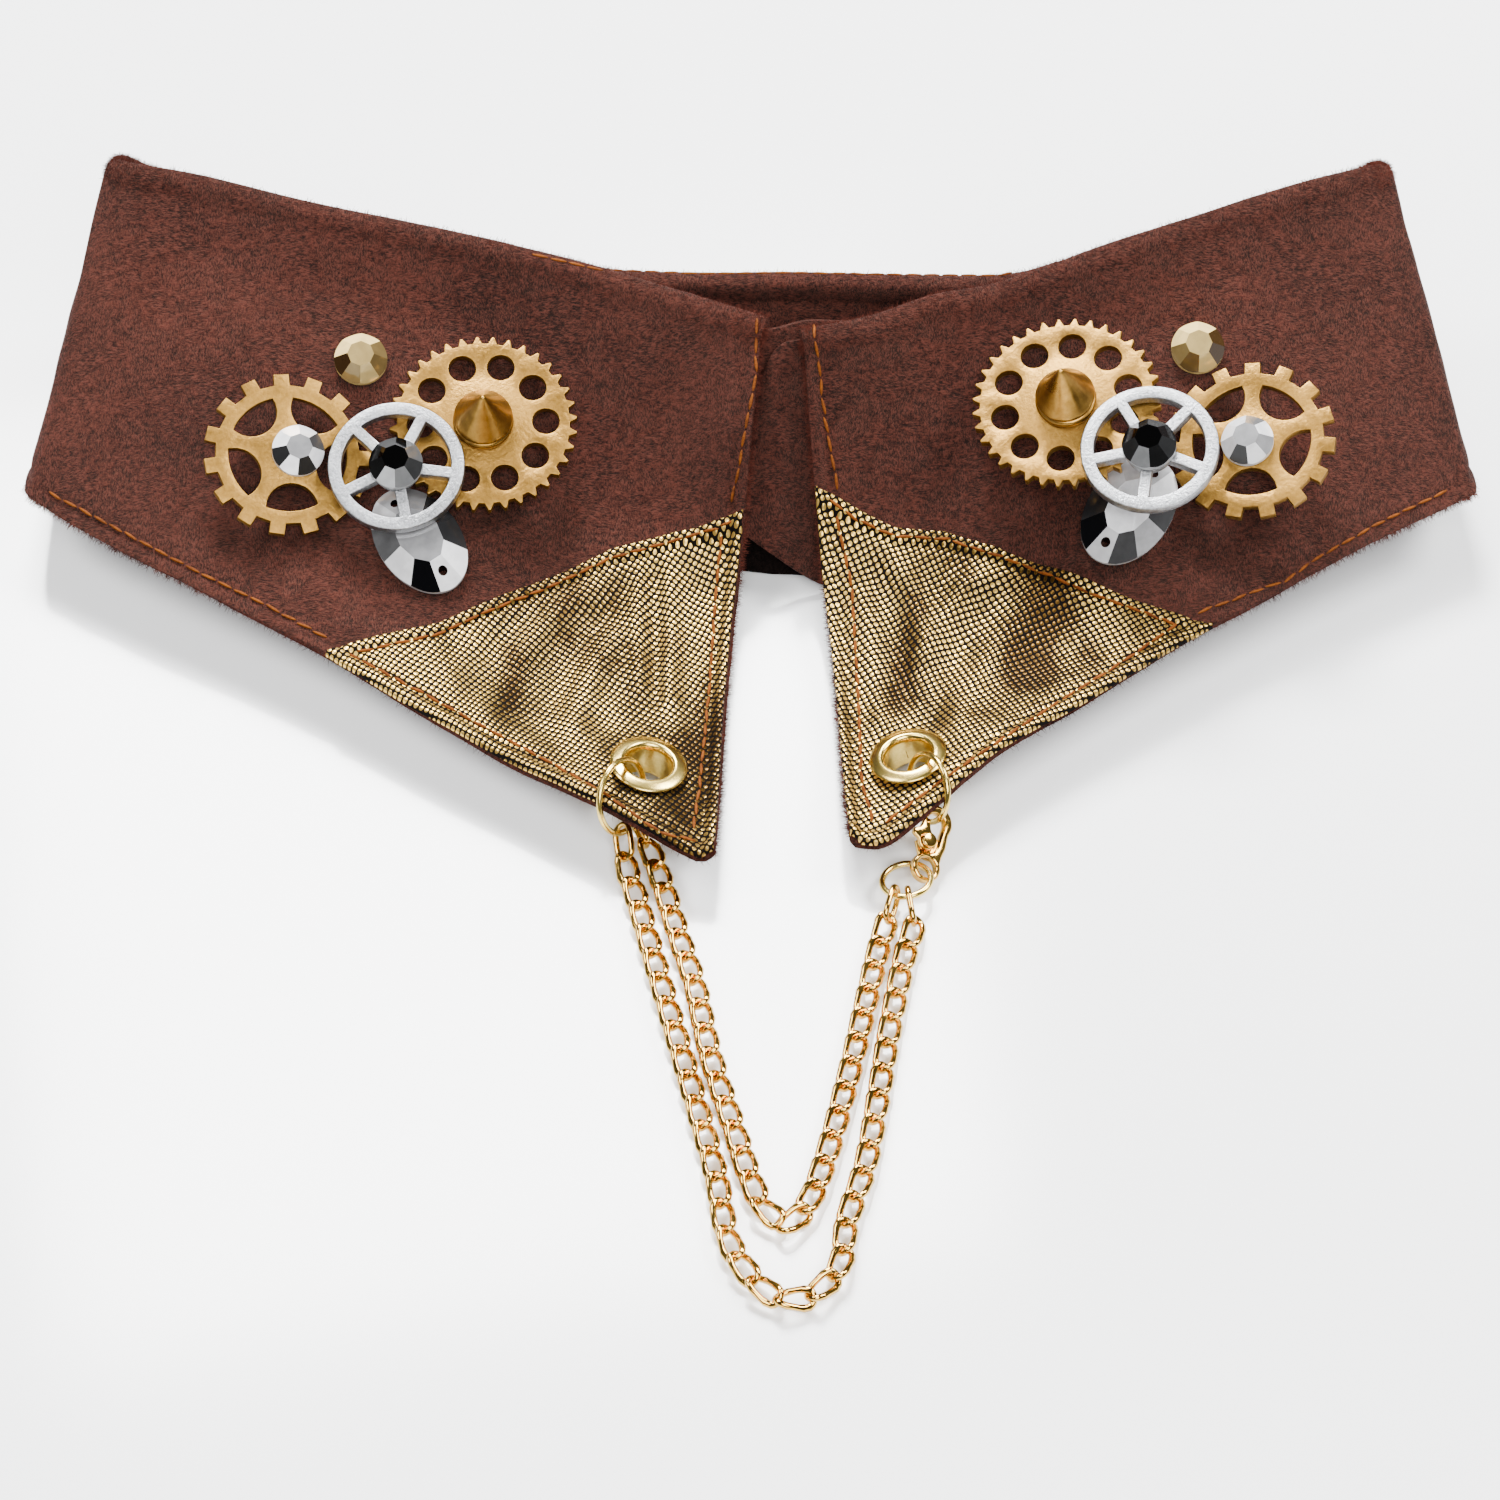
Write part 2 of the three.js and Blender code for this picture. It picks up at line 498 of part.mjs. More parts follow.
function polar(radius, degrees) {
  const angle = THREE.MathUtils.degToRad(degrees);
  return new THREE.Vector2(radius * Math.cos(angle), radius * Math.sin(angle));
}

// Points on an arc about a centre, from one angle to another.
function arcPoints(x, y, radius, from, to, count) {
  return Array.from({ length: count }, (_, i) => polar(radius, from + ((to - from) * i) / (count - 1))
    .add(new THREE.Vector2(x, y)));
}

// Flat plate with holes, from z = bottom up.
function plate(outline, holes, thickness, bottom = 0) {
  const shape = new THREE.Shape(outline);
  shape.holes = holes.map((points) => new THREE.Path(points));
  return new THREE.ExtrudeGeometry(shape, { depth: thickness, bevelEnabled: false })
    .translate(0, 0, bottom);
}

function bigGear() {
  const { teeth, toothHalf, root, tip, holes, holeCircle, holeRadius } = BIG_GEAR;
  const pitch = 360 / teeth;
  const outline = Array.from({ length: teeth }, (_, i) => [
    polar(root, (i - toothHalf) * pitch), polar(tip, i * pitch), polar(root, (i + toothHalf) * pitch),
  ]).flat();
  const bores = Array.from({ length: holes }, (_, i) => {
    const centre = polar(holeCircle, 90 + (i * 360) / holes);
    return ovalPoints(holeRadius, holeRadius, HOLE_SIDES).map((p) => p.add(centre));
  });
  return plate(outline, bores, PLATE_THICKNESS);
}

function smallGear() {
  const { teeth, rootHalf, tipHalf, root, tip, openings } = SMALL_GEAR;
  const pitch = 360 / teeth;
  const outline = Array.from({ length: teeth }, (_, i) => {
    const middle = 90 + i * pitch;
    return [
      polar(root, middle - rootHalf * pitch), polar(tip, middle - tipHalf * pitch),
      polar(tip, middle + tipHalf * pitch), polar(root, middle + rootHalf * pitch),
    ];
  }).flat();
  const lenses = Array.from({ length: openings }, (_, i) => {
    const middle = 90 + ((i + 0.5) * 360) / openings;
    return OPENING_OUTLINE.map(([radius, degrees]) => polar(radius, middle + degrees));
  });
  return plate(outline, lenses, PLATE_THICKNESS);
}

function spokedWheel() {
  const { outer, rim, hub, spokes, spokeWidth } = WHEEL;
  const share = 360 / spokes;
  const rimEdge = THREE.MathUtils.radToDeg(Math.asin(spokeWidth / 2 / rim));
  const hubEdge = THREE.MathUtils.radToDeg(Math.asin(spokeWidth / 2 / hub));
  const windows = Array.from({ length: spokes }, (_, i) => [
    ...arcPoints(0, 0, rim, i * share + rimEdge, (i + 1) * share - rimEdge, 6),
    ...arcPoints(0, 0, hub, (i + 1) * share - hubEdge, i * share + hubEdge, 4),
  ]);
  return plate(ovalPoints(outer, outer, ROUND_SIDES * 2), windows, WHEEL_THICKNESS);
}

function turned(profile, sides = ROUND_SIDES) {
  const closed = profile[0][0] === 0 ? profile : [...profile, profile[0]];
  const points = closed.map(([radius, z]) => new THREE.Vector2(radius, z));
  return toGeometry(toSolid(new THREE.LatheGeometry(points, sides).rotateX(Math.PI / 2)));
}

// Faceted stone with a flat back, a girdle, sloping crown facets and an octagonal table.
function cutStone(radiusX, radiusY, height) {
  const level = (share, z) => ovalPoints(radiusX * share, radiusY * share, ROUND_SIDES)
    .map((p) => vec(p.x, p.y, z));
  const table = level(TABLE_SHARE, height)
    .map((p, i) => (i % 2 ? vec(p.x * TABLE_EDGE, p.y * TABLE_EDGE, height) : p));
  return loft([level(0.92, 0), level(1, STONE_GIRDLE * 0.5), level(1, STONE_GIRDLE), table]);
}

function ovalStone() {
  const { radiusX, radiusY, height, holeRadius, holeAt } = OVAL_STONE;
  const drill = (y) => new THREE.CylinderGeometry(holeRadius, holeRadius, height * 3, HOLE_SIDES)
    .rotateX(Math.PI / 2).translate(0, y, 0);
  return cut(cutStone(radiusX, radiusY, height), drill(holeAt), drill(-holeAt));
}

// Sheet that follows the leaf between two distances above its outer side.
function sheetOverLeaf(fromStation, toStation, low, high) {
  const over = (k, t, height) => leafPoint(k, t).addScaledVector(leafNormal(k, t), height);
  const rows = LEAF_ROWS.filter((t) => t > 0);
  const spans = stations(SECTIONS).filter((k) => k >= fromStation && k <= toStation);
  return loft(spans.map((k) => [
    ...rows.map((t) => over(k, t, low)),
    ...rows.slice().reverse().map((t) => over(k, t, high)),
  ]));
}

// Foil patch: the part of the sheet over the leaf that lies in front of the seam line.
function foilTip(fromStation, toStation, seam) {
  const behind = [
    ...seam.map(({ x, y }) => new THREE.Vector2(x, y)),
    new THREE.Vector2(seam.at(-1).x, FAR_BACK),
    new THREE.Vector2(seam[0].x, FAR_BACK),
  ];
  const sheet = sheetOverLeaf(fromStation, toStation, FOIL_GAP, FOIL_GAP + FOIL_THICKNESS);
  return cut(sheet, plate(behind, [], SKY * 2, -SKY));
}

// How far below an eyelet's flange the leaf's underside lies, felt from below.
function depthUnder(frame, cloth) {
  const up = vec(0, 0, 1).transformDirection(frame);
  const depths = probes(EYELET.washer, EYELET.washer, PLATE_SHARES.slice(0, 2)).map((p) => {
    const hit = firstHit(p.setZ(-REACH).applyMatrix4(frame), up, [cloth]);
    return hit ? REACH - hit.distance : 0;
  });
  return Math.max(...depths) + GAP;
}

function eyelet(frame, cloth) {
  const { bore, barrel, washer, washerThickness, flange } = EYELET;
  const top = -depthUnder(frame, cloth);
  const bottom = top - washerThickness;
  const profile = [
    [bore, bottom], [washer, bottom], [washer, top], [barrel, top], [barrel, 0], [flange, 0],
    ...EYELET_DOME, [bore, 0.4],
  ];
  return turned(profile).applyMatrix4(frame);
}

function drillAlong(frame) {
  return new THREE.CylinderGeometry(EYELET_HOLE, EYELET_HOLE, REACH, ROUND_SIDES)
    .rotateX(Math.PI / 2).applyMatrix4(frame);
}

// Ring of round wire that threads a bore at one point and passes outside a hem at another;
// its middle hangs below the line between them.
function threadedRing({ inner, outer, down, drop }) {
  const start = vec(...inner);
  const end = vec(...outer);
  const across = end.clone().sub(start);
  const half = across.length() / 2;
  across.normalize();
  const below = vec(...down);
  below.addScaledVector(across, -below.dot(across)).normalize();
  const centre = start.add(end).multiplyScalar(0.5).addScaledVector(below, drop);
  return { centre, across, below, radius: Math.hypot(half, drop) };
}

// Point of a ring at an angle from its lowest side toward its outer side, and the wire's run.
function onRing(ring, degrees) {
  const { x, y } = polar(1, degrees);
  const point = ring.centre.clone()
    .addScaledVector(ring.below, x * ring.radius).addScaledVector(ring.across, y * ring.radius);
  const run = ring.across.clone().multiplyScalar(x).addScaledVector(ring.below, -y);
  return { point, run };
}

function ringBody(ring) {
  const normal = ring.across.clone().cross(ring.below);
  const frame = new THREE.Matrix4().makeBasis(ring.below, normal.clone().cross(ring.below), normal);
  return new THREE.TorusGeometry(ring.radius, WIRE, RING_SIDES, RING_STEPS)
    .applyMatrix4(frame.setPosition(ring.centre));
}

// One chain link about the origin, long along X, its ends turned against each other about X.
function chainLink({ halfLength, corner, middle, halfWidth, twist }) {
  const half = middle
    ? [[halfLength, corner], [middle, halfWidth], [-middle, halfWidth], [-halfLength, corner]]
    : [[halfLength, corner], [0, halfWidth], [-halfLength, corner]];
  const loop = [...half, ...half.map(([x, y]) => [-x, -y])];
  const turnAt = (x) => THREE.MathUtils.degToRad((twist * x) / halfLength);
  const centre = loop.map(([x, y]) => vec(x, y * Math.cos(turnAt(x)), y * Math.sin(turnAt(x))));
  return loft(centre.map((p, i) => {
    const onward = centre[(i + 1) % centre.length].clone().sub(p).normalize();
    const along = onward.clone().add(p.clone().sub(centre.at(i - 1)).normalize()).normalize();
    const up = vec(0, -Math.sin(turnAt(p.x)), Math.cos(turnAt(p.x)));
    const side = up.cross(along).normalize();
    const top = along.clone().cross(side);
    side.divideScalar(Math.max(along.dot(onward), MITRE_LIMIT));
    return ovalPoints(LINK_WIRE, LINK_WIRE, RING_SIDES)
      .map(({ x, y }) => p.clone().addScaledVector(side, x).addScaledVector(top, y));
  }), true);
}

function linkFrame(centre, along, up) {
  const side = up.clone().cross(along).normalize();
  const top = along.clone().cross(side);
  return new THREE.Matrix4().makeBasis(along, side, top).setPosition(centre);
}

// Chain between two ring points: its first and last links stand across the rings' wires, the
// others lie along the path with the same side up.
function chainStrand(from, path, to) {
  const points = path.map(({ x, y, z }) => vec(x, y, z));
  const leave = points[0].clone().sub(from.point).normalize();
  const arrive = to.point.clone().sub(points.at(-1)).normalize();
  const first = from.point.clone().addScaledVector(leave, END_LINK_REACH);
  const last = to.point.clone().addScaledVector(arrive, -END_LINK_REACH);
  const curve = new THREE.CatmullRomCurve3([first, ...points, last], false, 'centripetal');
  const count = Math.round(curve.getLength() / LINK_PITCH);
  const turns = [path[0].roll, ...path.map(({ roll }) => roll), path.at(-1).roll];
  const links = [];
  for (let i = 1; i < count; i += 1) {
    const place = curve.getUtoTmapping(i / count);
    const span = place * (turns.length - 1);
    const low = Math.min(Math.floor(span), turns.length - 2);
    const roll = THREE.MathUtils.degToRad(THREE.MathUtils.lerp(turns[low], turns[low + 1], span - low));
    const along = curve.getTangent(place);
    const up = vec(0, 0, 1).applyAxisAngle(along, roll);
    links.push(chainLink(LINK).applyMatrix4(linkFrame(curve.getPoint(place), along, up)));
  }
  const ends = [[first, leave, from.run], [last, arrive, to.run]];
  ends.forEach((end) => links.push(chainLink(END_LINK).applyMatrix4(linkFrame(...end))));
  return join(links);
}

// Clasp frame: X from the eye to the ring held in the hook, Z as near as possible to normal.
function claspFrame(eye, held, normal) {
  const along = held.clone().sub(eye).normalize();
  return linkFrame(eye, along, normal);
}

function claspBody() {
  const { eye, eyeHole, halfThickness, hookAt, hookOuter, hookInner } = CLASP;
  const full = halfThickness * 2;
  const flat = (outline) => outline.map(([x, y]) => new THREE.Vector2(x, y));
  const hook = plate([
    ...arcPoints(hookAt, 0, hookOuter, HOOK_SWEEP.outerStart, HOOK_SWEEP.end, 9),
    ...arcPoints(hookAt, 0, hookInner, HOOK_SWEEP.end, HOOK_SWEEP.innerStart, 7),
    ...flat(SHANK_OUTLINE),
  ], [], full, -halfThickness);
  const tail = plate(ovalPoints(eye, eye, ROUND_SIDES), [], full - FUSE, FUSE / 2 - halfThickness);
  const web = plate(flat(WEB_OUTLINE), [], LEVER.bottom - GAP + halfThickness, -halfThickness);
  const post = (radius, low, high) => new THREE.CylinderGeometry(radius, radius, high - low, HOLE_SIDES)
    .rotateX(Math.PI / 2).translate(LEVER.pivotX, LEVER.pivotY, (low + high) / 2);
  const bore = new THREE.CylinderGeometry(eyeHole, eyeHole, full * 3, ROUND_SIDES).rotateX(Math.PI / 2);
  const pin = post(PIN.radius, LEVER.bottom - GAP - FUSE, PIN.headBottom + FUSE);
  const head = post(PIN.headRadius, PIN.headBottom, PIN.headTop);
  return cut(join([hook, tail, web, pin, head]), bore);
}

function claspLever() {
  const outline = LEVER_OUTLINE.map(([x, y]) => new THREE.Vector2(x, y));
  const hole = ovalPoints(LEVER.hole, LEVER.hole, HOLE_SIDES)
    .map((p) => p.add(new THREE.Vector2(LEVER.pivotX, LEVER.pivotY)));
  return plate(outline, [hole], LEVER.top - LEVER.bottom, LEVER.bottom);
}

const group = new THREE.Group();
group.position.set(ORIGIN_SHIFT.x, ORIGIN_SHIFT.y, ORIGIN_SHIFT.z);

function addPiece(name, geometry, finish) {
  const mesh = new THREE.Mesh(geometry, new THREE.MeshStandardMaterial(finish));
  mesh.material.side = THREE.DoubleSide;
  mesh.name = name;
  group.add(mesh);
  return mesh;
}

const SUEDE = { color: 0x5a302a, roughness: 0.95, metalness: 0 };
const TAPE = { color: 0x141213, roughness: 0.8, metalness: 0 };
const FOIL = { color: 0xa98b4c, roughness: 0.45, metalness: 0.6 };
const BRASS = { color: 0xb68b3f, roughness: 0.42, metalness: 1 };
const SILVER = { color: 0xb9bcc2, roughness: 0.45, metalness: 1 };
const PALE_GOLD = { color: 0xd9bf73, roughness: 0.25, metalness: 1 };
const BLACK_STONE = { color: 0x0c0c0e, roughness: 0.08, metalness: 0 };
const SILVER_STONE_FINISH = { color: 0xd5d8dc, roughness: 0.08, metalness: 1 };
const CHAMPAGNE = { color: 0xb9a67c, roughness: 0.1, metalness: 1 };

// Upward frame that shares another frame's axes at some height above it.
function above(frame, height) {
  return frame.clone().multiply(new THREE.Matrix4().makeTranslation(0, 0, height));
}

// Gears, wheel and stones of one wing, each laid on the leaf and the trims before it.
function addCluster(side, leaf) {
  const seat = SEATS[side];
  const below = [leaf];
  const lay = (name, geometry, outline, at, finish, pieces = below) => {
    const frame = restFrame(at, outline, pieces);
    below.push(addPiece(`${name}_${side}`, geometry.applyMatrix4(frame), finish));
    return frame;
  };
  const round = (radius) => probes(radius, radius, PLATE_SHARES);
  const { radiusX, radiusY } = OVAL_STONE;
  const big = lay('big_gear', bigGear(), round(BIG_GEAR.tip), seat.bigGear, BRASS);
  const small = lay('small_gear', smallGear(), round(SMALL_GEAR.tip), seat.smallGear, BRASS);
  const ovalProbes = probes(radiusX, radiusY, PLATE_SHARES);
  lay('oval_stone', ovalStone(), ovalProbes, seat.oval, SILVER_STONE_FINISH, [leaf]);
  const { radius, height } = ROUND_STONE;
  lay('champagne_stone', cutStone(radius, radius, height), round(radius), seat.champagne, CHAMPAGNE);
  const rimProbes = probes(WHEEL.outer, WHEEL.outer, RIM_SHARES);
  const wheel = lay('spoked_wheel', spokedWheel(), rimProbes, seat.wheel, SILVER);
  const onTop = (name, geometry, frame, thickness, finish) => {
    addPiece(`${name}_${side}`, geometry.applyMatrix4(above(frame, thickness + GAP)), finish);
  };
  onTop('cone_spike', turned(SPIKE_PROFILE), big, PLATE_THICKNESS, BRASS);
  onTop('black_stone', cutStone(radius, radius, height), wheel, WHEEL_THICKNESS, BLACK_STONE);
  const bright = SILVER_STONE;
  const silver = cutStone(bright.radius, bright.radius, bright.height)
    .translate(bright.shift[side].x, bright.shift[side].y, 0);
  onTop('silver_stone', silver, small, PLATE_THICKNESS, SILVER_STONE_FINISH);
}

function eyeletFrame(side, foil) {
  const seat = SEATS[side].eyelet;
  return restFrame(seat, probes(EYELET.flange, EYELET.flange, PLATE_SHARES), [foil]);
}

const leafCloth = collarLeaf();
const leftFoil = foilTip(0, LEFT_TIP_END, SEAM_LEFT);
const rightFoil = foilTip(RIGHT_TIP_START, SECTIONS.length - 1, SEAM_RIGHT);
const leftEyelet = eyeletFrame('left', new THREE.Mesh(leftFoil, EVERY_SIDE));
const rightEyelet = eyeletFrame('right', new THREE.Mesh(rightFoil, EVERY_SIDE));
const wholeCloth = new THREE.Mesh(leafCloth, EVERY_SIDE);
const leftDrill = drillAlong(leftEyelet);
const rightDrill = drillAlong(rightEyelet);

const leaf = addPiece('collar_leaf', cut(leafCloth, leftDrill, rightDrill), SUEDE);
addPiece('neckband', neckband(), SUEDE);
addPiece('hook_and_loop_tape', hookAndLoopTape(), TAPE);
addPiece('gold_tip_left', cut(leftFoil, leftDrill), FOIL);
addPiece('gold_tip_right', cut(rightFoil, rightDrill), FOIL);
addPiece('eyelet_left', eyelet(leftEyelet, wholeCloth), PALE_GOLD);
addPiece('eyelet_right', eyelet(rightEyelet, wholeCloth), PALE_GOLD);
addCluster('left', leaf);
addCluster('right', leaf);

const ringLeft = threadedRing(RING_LEFT);
const ringRight = threadedRing(RING_RIGHT);
const held = onRing(ringRight, HOOK_ANGLE);
const eye = vec(...CLASP_EYE);
const clasp = claspFrame(eye, held.point, vec(...CLASP_NORMAL));
const lowerAcross = vec(...LOWER_RING.across);
const ringLower = {
  centre: eye.clone().addScaledVector(lowerAcross, -LOWER_RING.radius),
  across: lowerAcross,
  below: vec(...LOWER_RING.below),
  radius: LOWER_RING.radius,
};
addPiece('jump_ring_left', ringBody(ringLeft), PALE_GOLD);
addPiece('jump_ring_right', ringBody(ringRight), PALE_GOLD);
addPiece('jump_ring_lower', ringBody(ringLower), PALE_GOLD);
addPiece('clasp_body', claspBody().applyMatrix4(clasp), PALE_GOLD);
addPiece('clasp_lever', claspLever().applyMatrix4(clasp), PALE_GOLD);

const outerEnds = [onRing(ringLeft, RING_ANGLES.outerLeft), onRing(ringLower, RING_ANGLES.outerRight)];
const innerEnds = [onRing(ringLeft, RING_ANGLES.innerLeft), onRing(ringLower, RING_ANGLES.innerRight)];
addPiece('chain_outer', chainStrand(outerEnds[0], OUTER_STRAND, outerEnds[1]), PALE_GOLD);
addPiece('chain_inner', chainStrand(innerEnds[0], INNER_STRAND, innerEnds[1]), PALE_GOLD);

export default group;
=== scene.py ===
"""Looks of a detachable collar: napped cloth, foil tips, brass trims, stones and curb chain.

Lengths in the tables are millimetres in the drawing frame, with X to the right, Y to the back
and Z up from the table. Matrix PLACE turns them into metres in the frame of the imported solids.
Places named by a pixel are on a 1500 x 1500 frame seen by the scene's own camera.
"""

import logging
import math
import random
from collections.abc import Callable, Sequence
from dataclasses import dataclass, field
from enum import Enum
from functools import lru_cache

import bmesh
import bpy
from mathutils import Matrix, Vector, noise
from mathutils.bvhtree import BVHTree


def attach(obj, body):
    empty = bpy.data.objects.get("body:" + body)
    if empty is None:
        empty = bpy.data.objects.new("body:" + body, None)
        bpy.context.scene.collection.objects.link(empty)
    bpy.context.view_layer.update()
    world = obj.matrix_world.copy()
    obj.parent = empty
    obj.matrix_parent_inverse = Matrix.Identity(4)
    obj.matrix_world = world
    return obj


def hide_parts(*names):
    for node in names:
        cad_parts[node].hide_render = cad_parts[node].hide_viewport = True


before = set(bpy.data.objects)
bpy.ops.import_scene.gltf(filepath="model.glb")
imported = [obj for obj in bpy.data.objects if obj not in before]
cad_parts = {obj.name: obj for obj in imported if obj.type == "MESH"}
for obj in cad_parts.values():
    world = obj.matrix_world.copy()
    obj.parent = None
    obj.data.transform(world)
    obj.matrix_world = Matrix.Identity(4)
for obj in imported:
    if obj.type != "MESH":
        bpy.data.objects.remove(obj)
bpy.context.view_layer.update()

BMesh = bmesh.types.BMesh
Group = bpy.types.NodeTree
Material = bpy.types.Material
Node = bpy.types.Node
Object = bpy.types.Object
Pair = tuple[float, float]
Socket = bpy.types.NodeSocket
Triple = tuple[float, float, float]

LOG = logging.getLogger("collar")

MM = 0.001
WELD = 1e-4
# GIRDLE_PAINTED_REFLECTION is the painted reflection on the stones' girdle faces; PAINTED_REFLECTION names the face
# attribute that holds each facet's painted reflection.
RIM_ANGLE = 1.2
GIRDLE_PAINTED_REFLECTION = 0.75
PAINTED_REFLECTION = "tone"
SHIFT = Vector((-0.1, -27.0, 0.05))
PLACE = Matrix.Scale(MM, 4) @ Matrix.Translation(SHIFT)
SEED = 11

SECTION_COLUMNS = (
    "crestX", "crestY", "crestZ", "hemX", "hemY", "hemZ", "footX", "footY", "footZ",
    "sag12", "sag30", "sag50", "sag75",
)
SECTIONS = (
    (3.0, 84.9, 33.0, -5.2, 0.8, 8.0, 3.0, 64.2, 0.0, 4.8, 15.5, 15.6, 8.8),
    (0.0, 86.0, 33.1, -8.6, 0.6, 7.6, -0.5, 64.7, 0.0, 5.5, 15.8, 15.8, 9.0),
    (-7.6, 89.1, 33.3, -18.9, 6.3, 9.5, -8.0, 66.0, 0.0, 7.4, 15.9, 16.2, 9.8),
    (-22.8, 94.6, 34.3, -34.0, 15.6, 9.5, -23.0, 68.4, 0.0, 5.4, 12.3, 14.2, 9.8),
    (-38.0, 98.3, 36.0, -48.0, 24.9, 9.8, -38.0, 71.8, 0.7, 4.8, 6.0, 7.0, 7.1),
    (-53.2, 101.0, 38.0, -63.0, 35.6, 10.5, -53.0, 75.4, 1.7, 3.6, 4.4, 5.0, 5.0),
    (-68.4, 103.3, 40.0, -80.0, 46.0, 11.0, -69.0, 79.6, 2.8, 2.0, 2.5, 2.5, 2.0),
    (-83.6, 106.6, 42.0, -96.0, 55.7, 11.4, -85.0, 83.8, 4.2, 0.8, 1.2, 1.0, 0.8),
    (-94.4, 108.0, 43.4, -107.2, 63.4, 12.0, -97.0, 86.9, 5.6, 0.4, 0.5, 0.4, 0.2),
    (-96.6, 109.4, 42.6, -111.2, 69.0, 11.4, -99.6, 88.4, 6.0, 0.2, 0.3, 0.2, 0.1),
    (-96.8, 111.0, 40.6, -110.4, 88.0, 3.6, -99.8, 90.2, 6.0, 0.0, 0.0, 0.0, 0.0),
    (-94.6, 110.6, 38.0, -107.6, 106.0, 1.6, -97.4, 91.2, 5.8, 0.5, 1.0, 1.0, 0.5),
    (-89.0, 108.6, 35.5, -98.0, 118.0, 1.8, -91.0, 90.6, 4.6, 1.0, 1.6, 1.4, 0.8),
    (-79.0, 105.3, 32.5, -81.0, 126.0, 1.6, -80.0, 88.4, 3.0, 1.0, 2.0, 2.0, 1.0),
    (-60.0, 101.5, 31.5, -61.0, 127.6, 1.5, -60.0, 84.4, 1.4, 1.0, 2.0, 2.0, 1.0),
    (-34.0, 98.8, 30.0, -36.0, 122.6, 1.5, -34.0, 79.8, 0.4, 1.0, 2.0, 2.0, 1.0),
    (-20.0, 95.7, 29.0, -21.0, 118.8, 1.5, -20.0, 76.8, 0.0, 1.0, 2.0, 2.0, 1.0),
    (8.0, 94.7, 29.5, 8.0, 117.0, 1.5, 8.0, 75.6, 0.0, 1.0, 2.0, 2.0, 1.0),
    (38.0, 94.6, 29.0, 38.0, 118.4, 1.5, 38.0, 77.0, 0.4, 1.0, 2.0, 2.0, 1.0),
    (50.0, 97.7, 29.5, 51.0, 122.2, 1.5, 50.0, 80.2, 1.0, 1.0, 2.0, 2.0, 1.0),
    (62.0, 100.4, 30.8, 63.0, 126.0, 1.5, 62.0, 83.6, 1.6, 1.0, 2.0, 2.0, 1.0),
    (80.0, 104.0, 32.8, 82.0, 126.6, 1.6, 80.0, 88.0, 3.0, 1.0, 2.0, 2.0, 1.0),
    (90.0, 107.4, 35.5, 98.0, 118.0, 1.8, 91.0, 90.4, 4.6, 1.0, 1.6, 1.4, 0.8),
    (94.8, 109.4, 38.0, 108.2, 106.0, 1.6, 97.4, 90.8, 5.8, 0.5, 1.0, 1.0, 0.5),
    (96.8, 109.8, 40.6, 110.4, 88.0, 3.6, 99.8, 89.8, 6.0, 0.0, 0.0, 0.0, 0.0),
    (96.4, 108.4, 42.6, 111.4, 69.0, 11.4, 99.6, 88.0, 6.0, 0.2, 0.3, 0.2, 0.1),
    (94.4, 107.3, 43.4, 107.6, 64.6, 12.0, 97.0, 86.6, 5.6, 0.4, 0.6, 0.5, 0.2),
    (84.0, 104.2, 42.8, 95.0, 57.2, 11.6, 85.0, 83.4, 4.2, 1.0, 1.4, 1.0, 0.8),
    (69.0, 99.8, 40.6, 79.6, 47.4, 11.0, 70.0, 79.0, 2.8, 2.0, 2.8, 2.4, 2.4),
    (56.0, 95.6, 38.8, 66.6, 39.4, 10.5, 56.0, 74.6, 1.9, 3.4, 3.6, 3.4, 4.8),
    (45.0, 91.9, 37.0, 55.4, 31.6, 10.1, 45.0, 70.0, 1.1, 4.2, 4.4, 4.6, 6.0),
    (36.4, 89.6, 35.4, 45.6, 24.6, 9.7, 36.0, 66.4, 0.6, 4.2, 8.0, 10.6, 7.8),
    (27.2, 88.4, 34.2, 36.4, 17.8, 9.5, 26.5, 63.2, 0.2, 5.4, 12.0, 13.5, 9.2),
    (18.1, 85.0, 33.2, 26.4, 8.4, 9.0, 18.0, 60.0, 0.0, 7.3, 14.2, 14.9, 9.3),
    (11.0, 83.2, 33.0, 18.8, 2.4, 7.6, 12.0, 58.8, 0.2, 7.4, 15.5, 15.2, 9.0),
    (7.5, 82.5, 33.0, 14.4, 4.2, 7.4, 8.6, 59.0, 1.8, 7.3, 15.8, 15.3, 9.0),
)
END_COLUMNS = ("crestX", "crestY", "crestZ", "footX", "footY", "footZ")
END_BEHIND = (
    (17.4, 87.4, 32.0, 17.4, 63.4, 0.0),
    (9.0, 86.7, 33.0, 10.0, 63.6, 0.0),
)
END_IN_FRONT = (
    (3.8, 81.2, 31.6, 3.4, 60.3, 5.4),
    (0.6, 75.6, 23.0, -1.4, 62.6, 7.8),
)
SAG_STOPS = (0.0, 0.12, 0.3, 0.5, 0.75, 1.0)
FOLD_ROLL = ((0.0, -3.3), (0.0, -1.2), (0.8, -0.25), (2.0, 0.0), (3.3, -0.5), (4.5, -1.8))


class Slot(Enum):
    """The material slots."""

    SUEDE = "suede"
    TAPE = "tape"
    FOIL = "foil"
    BRASS = "brass"
    SILVER = "silver"
    PALE_GOLD = "pale_gold"
    BLACK_STONE = "black_stone"
    SILVER_STONE = "silver_stone"
    CHAMPAGNE = "champagne_stone"


class Body(Enum):
    """The bodies that pieces ride on."""

    COLLAR = "collar"
    LEVER = "clasp_lever"


def hermite(a: float, b: float, slope_a: float, slope_b: float, u: float) -> float:
    """Value between a and b with the given slopes at the ends."""
    rise = b - a
    return a + u * (rise + (1 - u) * ((slope_a - rise) * (1 - u) + (rise - slope_b) * u))


